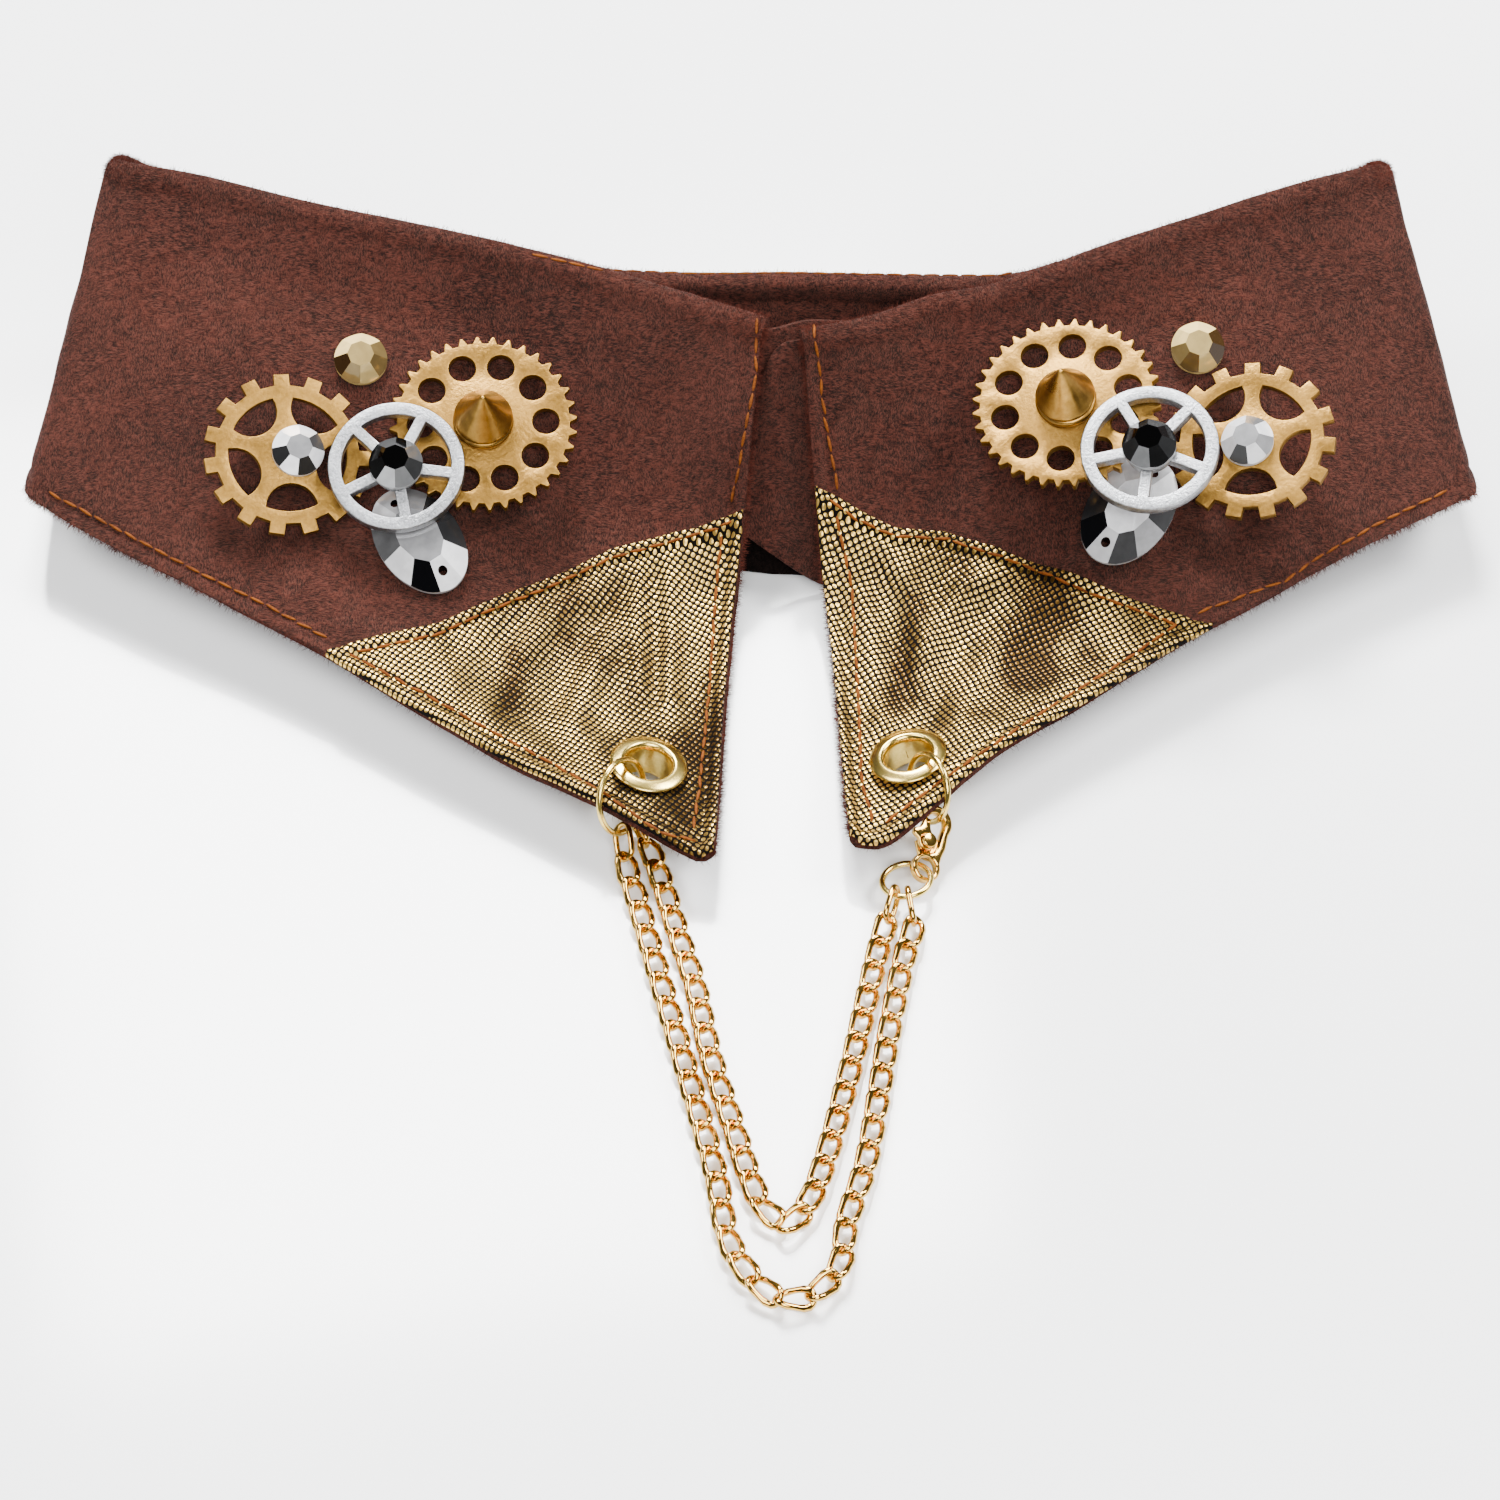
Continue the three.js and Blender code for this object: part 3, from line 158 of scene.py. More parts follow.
def between(near: Sequence[float], u: float) -> float:
    """Smooth value between the middle two of four evenly spaced ones."""
    return hermite(near[1], near[2], (near[2] - near[0]) / 2, (near[3] - near[1]) / 2, u)


def around(values: Sequence, i: int) -> list:
    """Item i, the one before it and the two after it, held at the ends."""
    return [values[min(max(j, 0), len(values) - 1)] for j in range(i - 1, i + 3)]


def smooth_step(low: float, high: float, value: float) -> float:
    """Rises from 0 at low to 1 at high without corners."""
    u = min(max((value - low) / (high - low), 0.0), 1.0)
    return u * u * (3 - 2 * u)


def bell(value: float, width: float) -> float:
    """Height of a bell curve of unit height at a distance from its middle."""
    return math.exp(-((value / width) ** 2))


@dataclass
class Rows:
    """Named columns that are read between their rows.

    Attributes:
        names: The columns' names.
        rows: The rows' numbers.
    """

    names: tuple[str, ...]
    rows: Sequence[Sequence[float]]

    def at(self, name: str, k: float) -> float:
        """One column at station k.

        Args:
            name: The column.
            k: Station, counted in rows from 0.

        Returns:
            The smooth value there.
        """
        column = self.names.index(name)
        i = min(int(max(k, 0.0)), len(self.rows) - 2)
        return between([row[column] for row in around(self.rows, i)], k - i)

    def point(self, prefix: str, k: float) -> Vector:
        """The point whose three columns share a prefix, at station k."""
        return Vector(self.at(prefix + axis, k) for axis in "XYZ")

    def outward(self, k: float) -> Vector:
        """Level direction away from the neck, square to the crest line, at station k.

        Args:
            k: Station.

        Returns:
            The direction, of unit length.
        """
        last = len(self.rows) - 1
        along = self.point("crest", min(k + 0.25, last)) - self.point("crest", max(k - 0.25, 0))
        return Vector((-along.y, along.x, 0.0)).normalized()


@dataclass
class LeafForm:
    """The folded leaf's outer surface, from inside the fold over its crest to the hem.

    Attributes:
        rows: Sections round the collar.
        edge_left: How far the left front edge bows outward.
        edge_right: How far the right front edge bows outward.
        corner_pinch: Share of the fold's width that is lost at the wings' outer corners.
    """

    rows: Rows = field(default_factory=lambda: Rows(SECTION_COLUMNS, SECTIONS))
    edge_left: float = 1.3
    edge_right: float = 1.0
    corner_pinch: float = 0.45

    def __post_init__(self) -> None:
        """Keeps each station's own values, because a whole column of points uses them."""
        self.station = lru_cache(maxsize=2000)(self._station)
        across = [self.rows.point("crest", k).x for k in range(self.last + 1)]
        self.corners = across.index(min(across)), across.index(max(across))

    @property
    def last(self) -> int:
        """The last station."""
        return len(self.rows.rows) - 1

    def _station(self, k: float) -> tuple[Vector, Vector, Vector, list[float]]:
        """Crest, outward direction, hem and sags at a station."""
        sags = [self.rows.at(name, k) for name in ("sag12", "sag30", "sag50", "sag75")]
        return self.rows.point("crest", k), self.rows.outward(k), self.rows.point("hem", k), [0, *sags, 0]

    def sag(self, k: float, t: float) -> float:
        """Depth of the surface below the straight line from its shoulder to its hem.

        Args:
            k: Station.
            t: Share of the way to the hem.

        Returns:
            The depth in millimetres.
        """
        depths = self.station(k)[3]
        last = len(depths) - 1
        i = 0
        while i < last - 1 and t > SAG_STOPS[i + 1]:
            i += 1
        span = SAG_STOPS[i + 1] - SAG_STOPS[i]

        def slope(j: int) -> float:
            """Slope at one stop."""
            a, b = max(j - 1, 0), min(j + 1, last)
            return (depths[b] - depths[a]) / (SAG_STOPS[b] - SAG_STOPS[a]) * span

        return hermite(depths[i], depths[i + 1], slope(i), slope(i + 1), (t - SAG_STOPS[i]) / span)

    def point(self, k: float, t: float) -> Vector:
        """Point at station k and row t: -1 to 0 rolls over the crest, 0 to 1 goes to the hem.

        Args:
            k: Station.
            t: Row.

        Returns:
            The point in the drawing frame.
        """
        crest, outward, hem, _ = self.station(k)
        outward = outward * (1 - self.corner_pinch * sum(bell(k - corner, 1.1) for corner in self.corners))
        if t <= 0:
            place = (t + 1) * (len(FOLD_ROLL) - 1)
            i = min(int(place), len(FOLD_ROLL) - 2)
            out, up = (between(values, place - i) for values in zip(*around(FOLD_ROLL, i)))
            return crest + outward * out + Vector((0, 0, up))
        out, up = FOLD_ROLL[-1]
        shoulder = crest + outward * out + Vector((0, 0, up))
        found = shoulder.lerp(hem, t) - Vector((0, 0, self.sag(k, t)))
        bow = math.sin(math.pi * min(t * 1.05, 1.0)) ** 1.5
        found.x -= self.edge_left * bow * max(0.0, 1 - k / 3) ** 2
        found.x += self.edge_right * bow * max(0.0, 1 - (self.last - k) / 3) ** 2
        return found

    def normal(self, k: float, t: float) -> Vector:
        """Outward normal of the surface at station k and row t.

        Args:
            k: Station.
            t: Row.

        Returns:
            The normal, of unit length.
        """
        d = 0.02
        along_k = self.point(min(k + d, self.last), t) - self.point(max(k - d, 0), t)
        along_t = self.point(k, min(t + d, 1)) - self.point(k, max(t - d, -1))
        return along_k.cross(along_t).normalized()


@dataclass(frozen=True)
class PhotoCamera:
    """The camera.

    Attributes:
        elevation: Its height over the table as an angle, in degrees.
        lens: Its focal length, in millimetres.
        sensor: Its sensor's side, in millimetres.
        distance: From its eye to its aim, in millimetres.
        aim: The point that it looks at, in the drawing frame.
        frame_side: The frame's side, in pixels.
    """

    elevation: float = 50.0
    lens: float = 100.0
    sensor: float = 36.0
    distance: float = 622.0
    aim: Triple = (0.0, 25.6, 0.0)
    frame_side: float = 1500.0

    def axes(self) -> tuple[Vector, Vector, Vector]:
        """The camera's right, up and forward directions.

        Returns:
            The three directions.
        """
        rise = math.radians(self.elevation)
        up = Vector((0, math.sin(rise), math.cos(rise)))
        return Vector((1, 0, 0)), up, Vector((0, math.cos(rise), -math.sin(rise)))

    def eye(self) -> Vector:
        """The camera's place in the drawing frame."""
        return Vector(self.aim) - self.axes()[2] * self.distance

    @property
    def focal(self) -> float:
        """The focal length in pixels."""
        return self.frame_side * self.lens / self.sensor

    def ray(self, px: float, py: float) -> Vector:
        """Direction through a pixel, in the drawing frame.

        Args:
            px: The pixel's X.
            py: The pixel's Y.

        Returns:
            The direction, of unit length.
        """
        right, up, ahead = self.axes()
        half = self.frame_side / 2
        return (ahead * self.focal + right * (px - half) - up * (py - half)).normalized()

    def pixel(self, point: Vector) -> Triple:
        """Pixel of a point in the drawing frame, and the pixels in a millimetre there.

        Args:
            point: The point.

        Returns:
            The pixel's X and Y, and the scale.
        """
        right, up, ahead = self.axes()
        seen = point - self.eye()
        depth = seen.dot(ahead)
        half = self.frame_side / 2
        px, py = half + self.focal * seen.dot(right) / depth, half - self.focal * seen.dot(up) / depth
        return px, py, self.focal / depth

    def build(self) -> None:
        """Makes the scene's camera."""
        data = bpy.data.cameras.new("camera")
        data.lens, data.sensor_width = self.lens, self.sensor
        data.clip_start, data.clip_end = 0.01, 20.0
        camera = bpy.data.objects.new("camera", data)
        camera.location = PLACE @ self.eye()
        camera.rotation_euler = (math.radians(90 - self.elevation), 0, 0)
        bpy.context.scene.collection.objects.link(camera)
        bpy.context.scene.camera = camera


class Tree:
    """Short ways to add nodes to one node tree."""

    def __init__(self, tree: Group) -> None:
        """Keeps the tree."""
        self.tree = tree

    def add(self, kind: str, **settings: object) -> Node:
        """Adds a node.

        Args:
            kind: The node's type without its ShaderNode prefix.
            settings: Properties of the node.

        Returns:
            The node.
        """
        prefix = "" if kind.startswith("NodeGroup") else "ShaderNode"
        node = self.tree.nodes.new(prefix + kind)
        for name, value in settings.items():
            setattr(node, name, value)
        return node

    def feed(self, node: Node, name: str | int, value: object) -> None:
        """Links a socket, or sets its number or colour.

        Args:
            node: The node.
            name: The socket's name or index.
            value: What it gets.
        """
        socket = node.inputs[name]
        if isinstance(value, Socket):
            self.tree.links.new(value, socket)
        elif isinstance(value, (tuple, list)) and socket.type == "RGBA" and len(value) == 3:
            socket.default_value = (*value, 1.0)
        else:
            socket.default_value = value

    def math(self, operation: str, *values: object, clamp: bool = False) -> Socket:
        """Output of a Math node.

        Args:
            operation: The node's operation.
            values: Its inputs.
            clamp: Whether it holds the result from 0 to 1.

        Returns:
            The output.
        """
        node = self.add("Math", operation=operation, use_clamp=clamp)
        for i, value in enumerate(values):
            self.feed(node, i, value)
        return node.outputs[0]

    def weigh(self, a: object, b: object, share: object) -> Socket:
        """Sum of one value's share and the rest of another."""
        rest = self.math("SUBTRACT", 1.0, share) if isinstance(share, Socket) else 1 - share
        return self.math("ADD", self.math("MULTIPLY", a, share), self.math("MULTIPLY", b, rest))

    def mix(self, share: object, a: object, b: object) -> Socket:
        """Output of a colour Mix node.

        Args:
            share: The second colour's share.
            a: The first colour.
            b: The second colour.

        Returns:
            The output.
        """
        node = self.add("Mix", data_type="RGBA")
        for name, value in ((0, share), (6, a), (7, b)):
            self.feed(node, name, value)
        return node.outputs[2]

    def span(
        self, value: object, low: float, high: float, to_low: float = 0.0, to_high: float = 1.0
    ) -> Socket:
        """Output of a clamped Map Range node.

        Args:
            value: The input.
            low: Input that gives to_low.
            high: Input that gives to_high.
            to_low: Output at low.
            to_high: Output at high.

        Returns:
            The output.
        """
        node = self.add("MapRange")
        for i, part in enumerate((value, low, high, to_low, to_high)):
            self.feed(node, i, part)
        return node.outputs[0]

    def place(self, stretch: Triple = (1, 1, 1), turn: float = 0.0) -> Socket:
        """Object coordinates, stretched and turned about Z.

        Args:
            stretch: Scale along each axis.
            turn: Turn in degrees.

        Returns:
            The output.
        """
        node = self.add("Mapping")
        self.feed(node, "Vector", self.add("TexCoord").outputs["Object"])
        node.inputs["Rotation"].default_value = (0, 0, math.radians(turn))
        node.inputs["Scale"].default_value = stretch
        return node.outputs[0]

    def noise(self, where: object, scale: object, detail: float = 3.0, rough: float = 0.55) -> Socket:
        """Value of a Noise Texture.

        Args:
            where: Its coordinates.
            scale: Its scale.
            detail: Its octaves.
            rough: Its roughness.

        Returns:
            The output.
        """
        node = self.add("TexNoise")
        for name, value in (("Vector", where), ("Scale", scale), ("Detail", detail), ("Roughness", rough)):
            self.feed(node, name, value)
        return node.outputs[0]


def group_of(
    name: str, inputs: Sequence[tuple[str, str, object]], outputs: Sequence[tuple[str, str]]
) -> tuple[Group, Tree, Node, Node]:
    """Starts a shader node group.

    Args:
        name: The group's name.
        inputs: Name, kind and default of each input.
        outputs: Name and kind of each output.

    Returns:
        The group, its helper, its input node and its output node.
    """
    tree = bpy.data.node_groups.new(name, "ShaderNodeTree")
    for label, kind, default in inputs:
        socket = tree.interface.new_socket(label, in_out="INPUT", socket_type="NodeSocket" + kind)
        socket.default_value = (*default, 1.0) if kind == "Color" else default
    for label, kind in outputs:
        tree.interface.new_socket(label, in_out="OUTPUT", socket_type="NodeSocket" + kind)
    helper = Tree(tree)
    return tree, helper, helper.add("NodeGroupInput"), helper.add("NodeGroupOutput")


@lru_cache(maxsize=None)
def uneven_group() -> Group:
    """Group that mottles between two colours at a fine and a broad scale.

    Returns:
        The group.
    """
    inputs = (
        ("Dark", "Color", (0, 0, 0)), ("Light", "Color", (1, 1, 1)), ("Fine Scale", "Float", 900.0),
        ("Broad Scale", "Float", 60.0), ("Broad Share", "Float", 0.4),
    )
    outputs = (("Color", "Color"), ("Height", "Float"), ("Broad", "Float"))
    group, tree, start, end = group_of("uneven", inputs, outputs)
    where = tree.place()
    fine = tree.noise(where, start.outputs["Fine Scale"], 4.0, 0.6)
    broad = tree.noise(where, start.outputs["Broad Scale"], 3.0, 0.5)
    both = tree.span(tree.weigh(broad, fine, start.outputs["Broad Share"]), 0.32, 0.68)
    tree.feed(end, "Color", tree.mix(both, start.outputs["Dark"], start.outputs["Light"]))
    tree.feed(end, "Height", fine)
    tree.feed(end, "Broad", broad)
    return group


@lru_cache(maxsize=None)
def dots_group() -> Group:
    """Group that lays a lattice of round dots in the plane of its vector.

    Returns:
        The group.
    """
    inputs = (
        ("Vector", "Vector", (0, 0, 0)), ("Pitch", "Float", 0.00087), ("Radius", "Float", 0.345),
        ("Squareness", "Float", 2.4),
    )
    outputs = (("Dot", "Float"), ("Dome", "Float"))
    group, tree, start, end = group_of("dots", inputs, outputs)
    parts = tree.add("SeparateXYZ")
    tree.feed(parts, 0, start.outputs["Vector"])
    away = []
    for axis in (0, 1):
        cell = tree.math("DIVIDE", parts.outputs[axis], start.outputs["Pitch"])
        away.append(tree.math("SUBTRACT", tree.math("FRACT", cell), 0.5))
    power = start.outputs["Squareness"]
    squares = [tree.math("POWER", tree.math("ABSOLUTE", value), power) for value in away]
    reach = tree.math("POWER", tree.math("ADD", *squares), tree.math("DIVIDE", 1.0, power))
    share = tree.math("DIVIDE", reach, start.outputs["Radius"])
    tree.feed(end, "Dot", tree.span(share, 0.92, 1.06, 1.0, 0.0))
    tree.feed(end, "Dome", tree.span(share, 0.0, 1.0, 1.0, 0.0))
    return group


def grouped(tree: Tree, group: Group, values: dict[str, object]) -> Node:
    """Places a group in a tree with its input values.

    Args:
        tree: The tree.
        group: The group.
        values: Its inputs by name.

    Returns:
        The group's node.
    """
    node = tree.add("Group", node_tree=group)
    for name, value in values.items():
        tree.feed(node, name, value)
    return node


def new_material(name: str, constants: dict[str, object]) -> tuple[Material, Tree, Node]:
    """Starts a material.

    Args:
        name: The material's name.
        constants: Plain values of the Principled shader's sockets.

    Returns:
        The material, its helper and its Principled node.
    """
    material = bpy.data.materials.new(name)
    material.use_nodes = True
    tree = Tree(material.node_tree)
    shader = material.node_tree.nodes["Principled BSDF"]
    for socket, value in constants.items():
        tree.feed(shader, socket, value)
    return material, tree, shader


def bump(tree: Tree, shader: Node, height: object, distance: float, strength: float = 1.0) -> None:
    """Feeds a height to the shader's normal.

    Args:
        tree: The tree.
        shader: The shader's node.
        height: The height.
        distance: Its depth, in metres.
        strength: Its share in the shading.
    """
    node = tree.add("Bump")
    tree.feed(node, "Height", height)
    tree.feed(node, "Distance", distance)
    tree.feed(node, "Strength", strength)
    tree.feed(shader, "Normal", node.outputs[0])


@dataclass(frozen=True)
class Suede:
    """Napped cloth, brushed and crumpled in short strokes.

    Attributes:
        dark: Colour in the hollows of the nap: the cloth's own colour darkened with painted shade.
        light: Colour on its tips: the cloth's own colour lightened with a painted highlight.
        strokes: Stretch and turn in degrees of the two lays of the nap.
        stroke_scale: Noise scale of the strokes.
        lay_scale: Noise scale of the places where each lay shows.
        crumple_scale: Noise scale of the crumples.
        patch_scale: Noise scale of the brushed patches.
        stroke_share: The strokes' share in the nap.
        nap_share: The nap's share in the tone.
        contrast: Tones that are fully dark and fully light.
        depth: Depth of the nap, in metres.
    """

    dark: Triple = (0.0055, 0.0014, 0.001)
    light: Triple = (0.118, 0.032, 0.0215)
    strokes: tuple[tuple[Triple, float], ...] = (((0.9, 3.4, 2.0), 35.0), ((3.2, 0.9, 2.0), 12.0))
    stroke_scale: float = 1600.0
    lay_scale: float = 190.0
    crumple_scale: float = 900.0
    patch_scale: float = 55.0
    stroke_share: float = 0.76
    nap_share: float = 0.9
    contrast: Pair = (0.44, 0.58)
    depth: float = 0.002

    def build(self, name: str = "suede") -> Material:
        """Makes the material.

        Args:
            name: The material's name.

        Returns:
            The material.
        """
        constants = {
            "Sheen Weight": 0.07, "Sheen Roughness": 0.3, "Sheen Tint": (1.0, 0.55, 0.42),
            "Specular IOR Level": 0.08,
        }
        material, tree, shader = new_material(name, constants)
        across, along = (
            tree.noise(tree.place(stretch, turn), self.stroke_scale, 4.0, 0.75) for stretch, turn in self.strokes
        )
        lay = tree.span(tree.noise(tree.place(), self.lay_scale, 2.0, 0.5), 0.42, 0.58)
        crumple = tree.noise(tree.place((1.0, 1.4, 1.0), -20), self.crumple_scale, 3.0, 0.6)
        patches = tree.noise(tree.place(), self.patch_scale, 4.0, 0.6)
        nap = tree.weigh(tree.weigh(across, along, lay), crumple, self.stroke_share)
        tone = tree.span(tree.weigh(nap, patches, self.nap_share), *self.contrast)
        # The nap that gives the bumps also mixes the colours, so its hollows carry painted shade and its tips a
        # painted highlight, over the cloth's own mottle.
        tree.feed(shader, "Base Color", tree.mix(tone, self.dark, self.light))
        tree.feed(shader, "Roughness", tree.span(nap, 0.3, 0.7, 0.96, 0.8))
        bump(tree, shader, nap, self.depth)
        return material


@dataclass(frozen=True)
class Foil:
    """Foil dots on a dark knit.

    Attributes:
        turn: Angle of the rows of dots to X, in degrees.
        gold: Colour of a fresh dot.
        dull: Colour of a worn dot.
        knit: Colour of the knit between the dots.
        drift: How far the rows of dots wander, in metres.
        speckle_share: Share of the fine wear in all of the wear.
        contrast: Wear that is fully dull and fully gold.
        depth: Height of a dot, in metres.
    """

    turn: float
    gold: Triple = (0.66, 0.42, 0.10)
    dull: Triple = (0.075, 0.038, 0.008)
    knit: Triple = (0.0015, 0.0008, 0.0004)
    drift: float = 0.0022
    speckle_share: float = 0.25
    contrast: Pair = (0.42, 0.56)
    depth: float = 0.00012

    def build(self, name: str) -> Material:
        """Makes the material.

        Args:
            name: The material's name.

        Returns:
            The material.
        """
        material, tree, shader = new_material(name, {"Specular IOR Level": 0.08})
        offset = tree.add("CombineXYZ")
        tree.feed(offset, "X", tree.noise(tree.place(), 70.0, 2.0))
        tree.feed(offset, "Y", tree.noise(tree.place(turn=50), 60.0, 2.0))
        drift = tree.add("VectorMath", operation="SCALE")
        tree.feed(drift, 0, offset.outputs[0])
        tree.feed(drift, "Scale", self.drift)
        moved = tree.add("VectorMath", operation="ADD")
        tree.feed(moved, 0, tree.place(turn=-self.turn))
        tree.feed(moved, 1, drift.outputs[0])
        dots = grouped(tree, dots_group(), {"Vector": moved.outputs[0]})
        dot, dome = dots.outputs["Dot"], dots.outputs["Dome"]
        speckle = tree.noise(tree.place(), 1300.0, 2.0, 0.7)
        patchy = tree.noise(tree.place((1.0, 0.55, 0.8), self.turn * 0.8), 75.0, 2.0, 0.5)
        worn = tree.span(tree.weigh(speckle, patchy, self.speckle_share), *self.contrast)
        tree.feed(shader, "Base Color", tree.mix(dot, self.knit, tree.mix(worn, self.dull, self.gold)))
        tree.feed(shader, "Metallic", tree.math("MULTIPLY", dot, 0.85))
        tree.feed(shader, "Roughness", tree.span(dot, 0, 1, 0.9, 0.3))
        height = tree.math("ADD", tree.math("MULTIPLY", dome, 0.6), tree.math("MULTIPLY", speckle, 0.5))
        bump(tree, shader, height, self.depth, 0.8)
        return material


@dataclass(frozen=True)
class Mottled:
    """Metal, thread, fibre or tape with a fine unevenness.

    Attributes:
        dark: Colour in the hollows.
        light: Colour on the heights.
        rough: Lowest and highest roughness.
        grain: Depth of the grain, in metres.
        metallic: Share of metal in the shader.
        fine: Noise scale of the grain.
        gloss: Level of the plain reflection.
        broad: Noise scale of the broad mottling.
        relief: Strength of the grain in the shading.
    """

    dark: Triple
    light: Triple
    rough: Pair
    grain: float
    metallic: float = 1.0
    fine: float = 1800.0
    gloss: float = 0.5
    broad: float = 120.0
    relief: float = 0.8

    def build(self, name: str) -> Material:
        """Makes the material.

        Args:
            name: The material's name.

        Returns:
            The material.
        """
        material, tree, shader = new_material(name, {"Metallic": self.metallic, "Specular IOR Level": self.gloss})
        values = {"Dark": self.dark, "Light": self.light, "Fine Scale": self.fine, "Broad Scale": self.broad}
        mottle = grouped(tree, uneven_group(), values)
        tree.feed(shader, "Base Color", mottle.outputs["Color"])
        tree.feed(shader, "Roughness", tree.span(mottle.outputs["Broad"], 0.3, 0.7, *self.rough))
        bump(tree, shader, mottle.outputs["Height"], self.grain, self.relief)
        return material


@dataclass(frozen=True)
class CutGlass:
    """Foil-backed glass whose facets differ in tone.

    Attributes:
        dark: Colour of a facet whose painted reflection is 0, the darkest.
        light: Colour of a facet whose painted reflection is 1, the brightest.
        metallic: Share of metal in the shader.
        coat: Weight of the clear coat.
        gloss: Level of the plain reflection.
    """

    dark: Triple
    light: Triple
    metallic: float = 0.3
    coat: float = 0.06
    gloss: float = 0.3

    def build(self, name: str) -> Material:
        """Makes the material.

        Args:
            name: The material's name.

        Returns:
            The material.
        """
        constants = {
            "Roughness": 0.05, "Metallic": self.metallic, "Coat Weight": self.coat, "Coat Roughness": 0.02,
            "Specular IOR Level": self.gloss,
        }
        material, tree, shader = new_material(name, constants)
        # Each facet's painted reflection, scaled a little by a random noise, mixes the dark and light colours.
        tone = tree.add("Attribute", attribute_name=PAINTED_REFLECTION).outputs["Fac"]
        flaw = tree.noise(tree.place(), 520.0, 2.0, 0.6)
        shifted = tree.math("MULTIPLY", tone, tree.span(flaw, 0.35, 0.65, 0.86, 1.05), clamp=True)
        tree.feed(shader, "Base Color", tree.mix(shifted, self.dark, self.light))
        return material


@dataclass(frozen=True)
class Coat:
    """A built finish.

    Attributes:
        material: Its material.
        slot: The slot that it belongs to; not used.
    """

    material: Material
    slot: Slot


class Finishes:
    """Every material of the collar, built once."""

    def __init__(self) -> None:
        """Builds the materials."""
        self.suede = Coat(Suede().build(), Slot.SUEDE)
        fibre = Mottled(
            (0.016, 0.0045, 0.0036), (0.11, 0.03, 0.02), (0.9, 1.0), grain=0.0, metallic=0.0, fine=700.0, gloss=0.05
        )
        self.fibre = Coat(fibre.build("fibre"), Slot.SUEDE)
        thread = Mottled(
            (0.045, 0.01, 0.0012), (0.2, 0.055, 0.006), (0.7, 0.7), grain=0.0001, metallic=0.0, fine=2600.0,
            gloss=0.1, broad=300.0, relief=1.0,
        )
        self.thread = Coat(thread.build("thread"), Slot.SUEDE)
        tape = Mottled(
            (0.0008, 0.0005, 0.0005), (0.01, 0.006, 0.005), (0.8, 0.95), grain=0.0014, metallic=0.0, fine=1500.0,
            gloss=0.04,
        )
        self.tape = Coat(tape.build("tape"), Slot.TAPE)
        self.foil_left = Coat(Foil(turn=-31.0).build("foil_left"), Slot.FOIL)
        self.foil_right = Coat(Foil(turn=24.0).build("foil_right"), Slot.FOIL)
        satin = Mottled((0.185, 0.094, 0.016), (0.35, 0.19, 0.038), (0.34, 0.48), grain=0.0001, metallic=0.92)
        self.brass = Coat(satin.build("satin_brass"), Slot.BRASS)
        bright = Mottled(
            (0.25, 0.13, 0.024), (0.44, 0.245, 0.055), (0.26, 0.36), grain=0.00004, metallic=0.97, fine=900.0
        )
        self.bright_brass = Coat(bright.build("turned_brass"), Slot.BRASS)
        silver = Mottled(
            (0.15, 0.155, 0.16), (0.48, 0.485, 0.5), (0.28, 0.4), grain=0.00016, metallic=0.95, fine=2600.0
        )
        self.silver = Coat(silver.build("satin_silver"), Slot.SILVER)
        pale = Mottled((0.60, 0.42, 0.09), (0.84, 0.63, 0.19), (0.16, 0.26), grain=0.000012)
        self.pale_gold = Coat(pale.build("pale_gold"), Slot.PALE_GOLD)
        deep = Mottled((0.50, 0.28, 0.045), (0.80, 0.50, 0.12), (0.08, 0.15), grain=0.00001)
        self.chain_gold = Coat(deep.build("chain_gold"), Slot.PALE_GOLD)
        black = CutGlass((0.0005, 0.0005, 0.0005), (0.4, 0.41, 0.42), metallic=0.0, coat=0.0, gloss=0.12)
        self.black_stone = Coat(black.build("black_glass"), Slot.BLACK_STONE)
        clear = CutGlass((0.0015, 0.0015, 0.002), (0.92, 0.92, 0.94))
        self.silver_stone = Coat(clear.build("silver_glass"), Slot.SILVER_STONE)
        amber = CutGlass((0.02, 0.007, 0.001), (0.95, 0.70, 0.27), metallic=0.25)
        self.champagne = Coat(amber.build("champagne_glass"), Slot.CHAMPAGNE)


def tidy_faces(bm: BMesh, weld: float = 1e-6) -> None:
    """Merges doubles and turns every face outward."""
    bmesh.ops.remove_doubles(bm, verts=bm.verts, dist=weld)
    bmesh.ops.recalc_face_normals(bm, faces=bm.faces)


def finish_piece(
    bm: BMesh,
    name: str,
    coat: Coat,
    stands_for: Sequence[str] = (),
    place: Matrix | None = None,
    body: Body = Body.COLLAR,
    sharp: float | None = 35.0,
) -> Object:
    """Makes an object of a bmesh, hangs it on its body and hides the solids that it replaces.

    Args:
        bm: The shape. It is freed.
        name: The piece's name.
        coat: Its finish.
        stands_for: The solids that it replaces.
        place: Takes the shape to its place in metres. None where it is there.
        body: The body that it rides on.
        sharp: Edges above this angle stay sharp, in degrees. None leaves every face flat.

    Returns:
        The object.
    """
    if place is not None:
        bmesh.ops.transform(bm, matrix=place, verts=bm.verts)
    mesh = bpy.data.meshes.new(name)
    bm.to_mesh(mesh)
    bm.free()
    piece = bpy.data.objects.new(name, mesh)
    bpy.context.scene.collection.objects.link(piece)
    mesh.materials.append(coat.material)
    if sharp is not None:
        mesh.shade_smooth()
        mesh.set_sharp_from_angle(angle=math.radians(sharp))
    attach(piece, body.value)
    if stands_for:
        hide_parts(*stands_for)
    LOG.info("%s: %d faces", name, len(mesh.polygons))
    return piece


def face_up(bm: BMesh) -> None:
    """Turns a sheet's faces to one side, which is the upper one on the whole.

    Args:
        bm: The sheet.
    """
    bmesh.ops.recalc_face_normals(bm, faces=bm.faces)
    if sum(face.normal.z * face.calc_area() for face in bm.faces) < 0:
        bmesh.ops.reverse_faces(bm, faces=bm.faces)


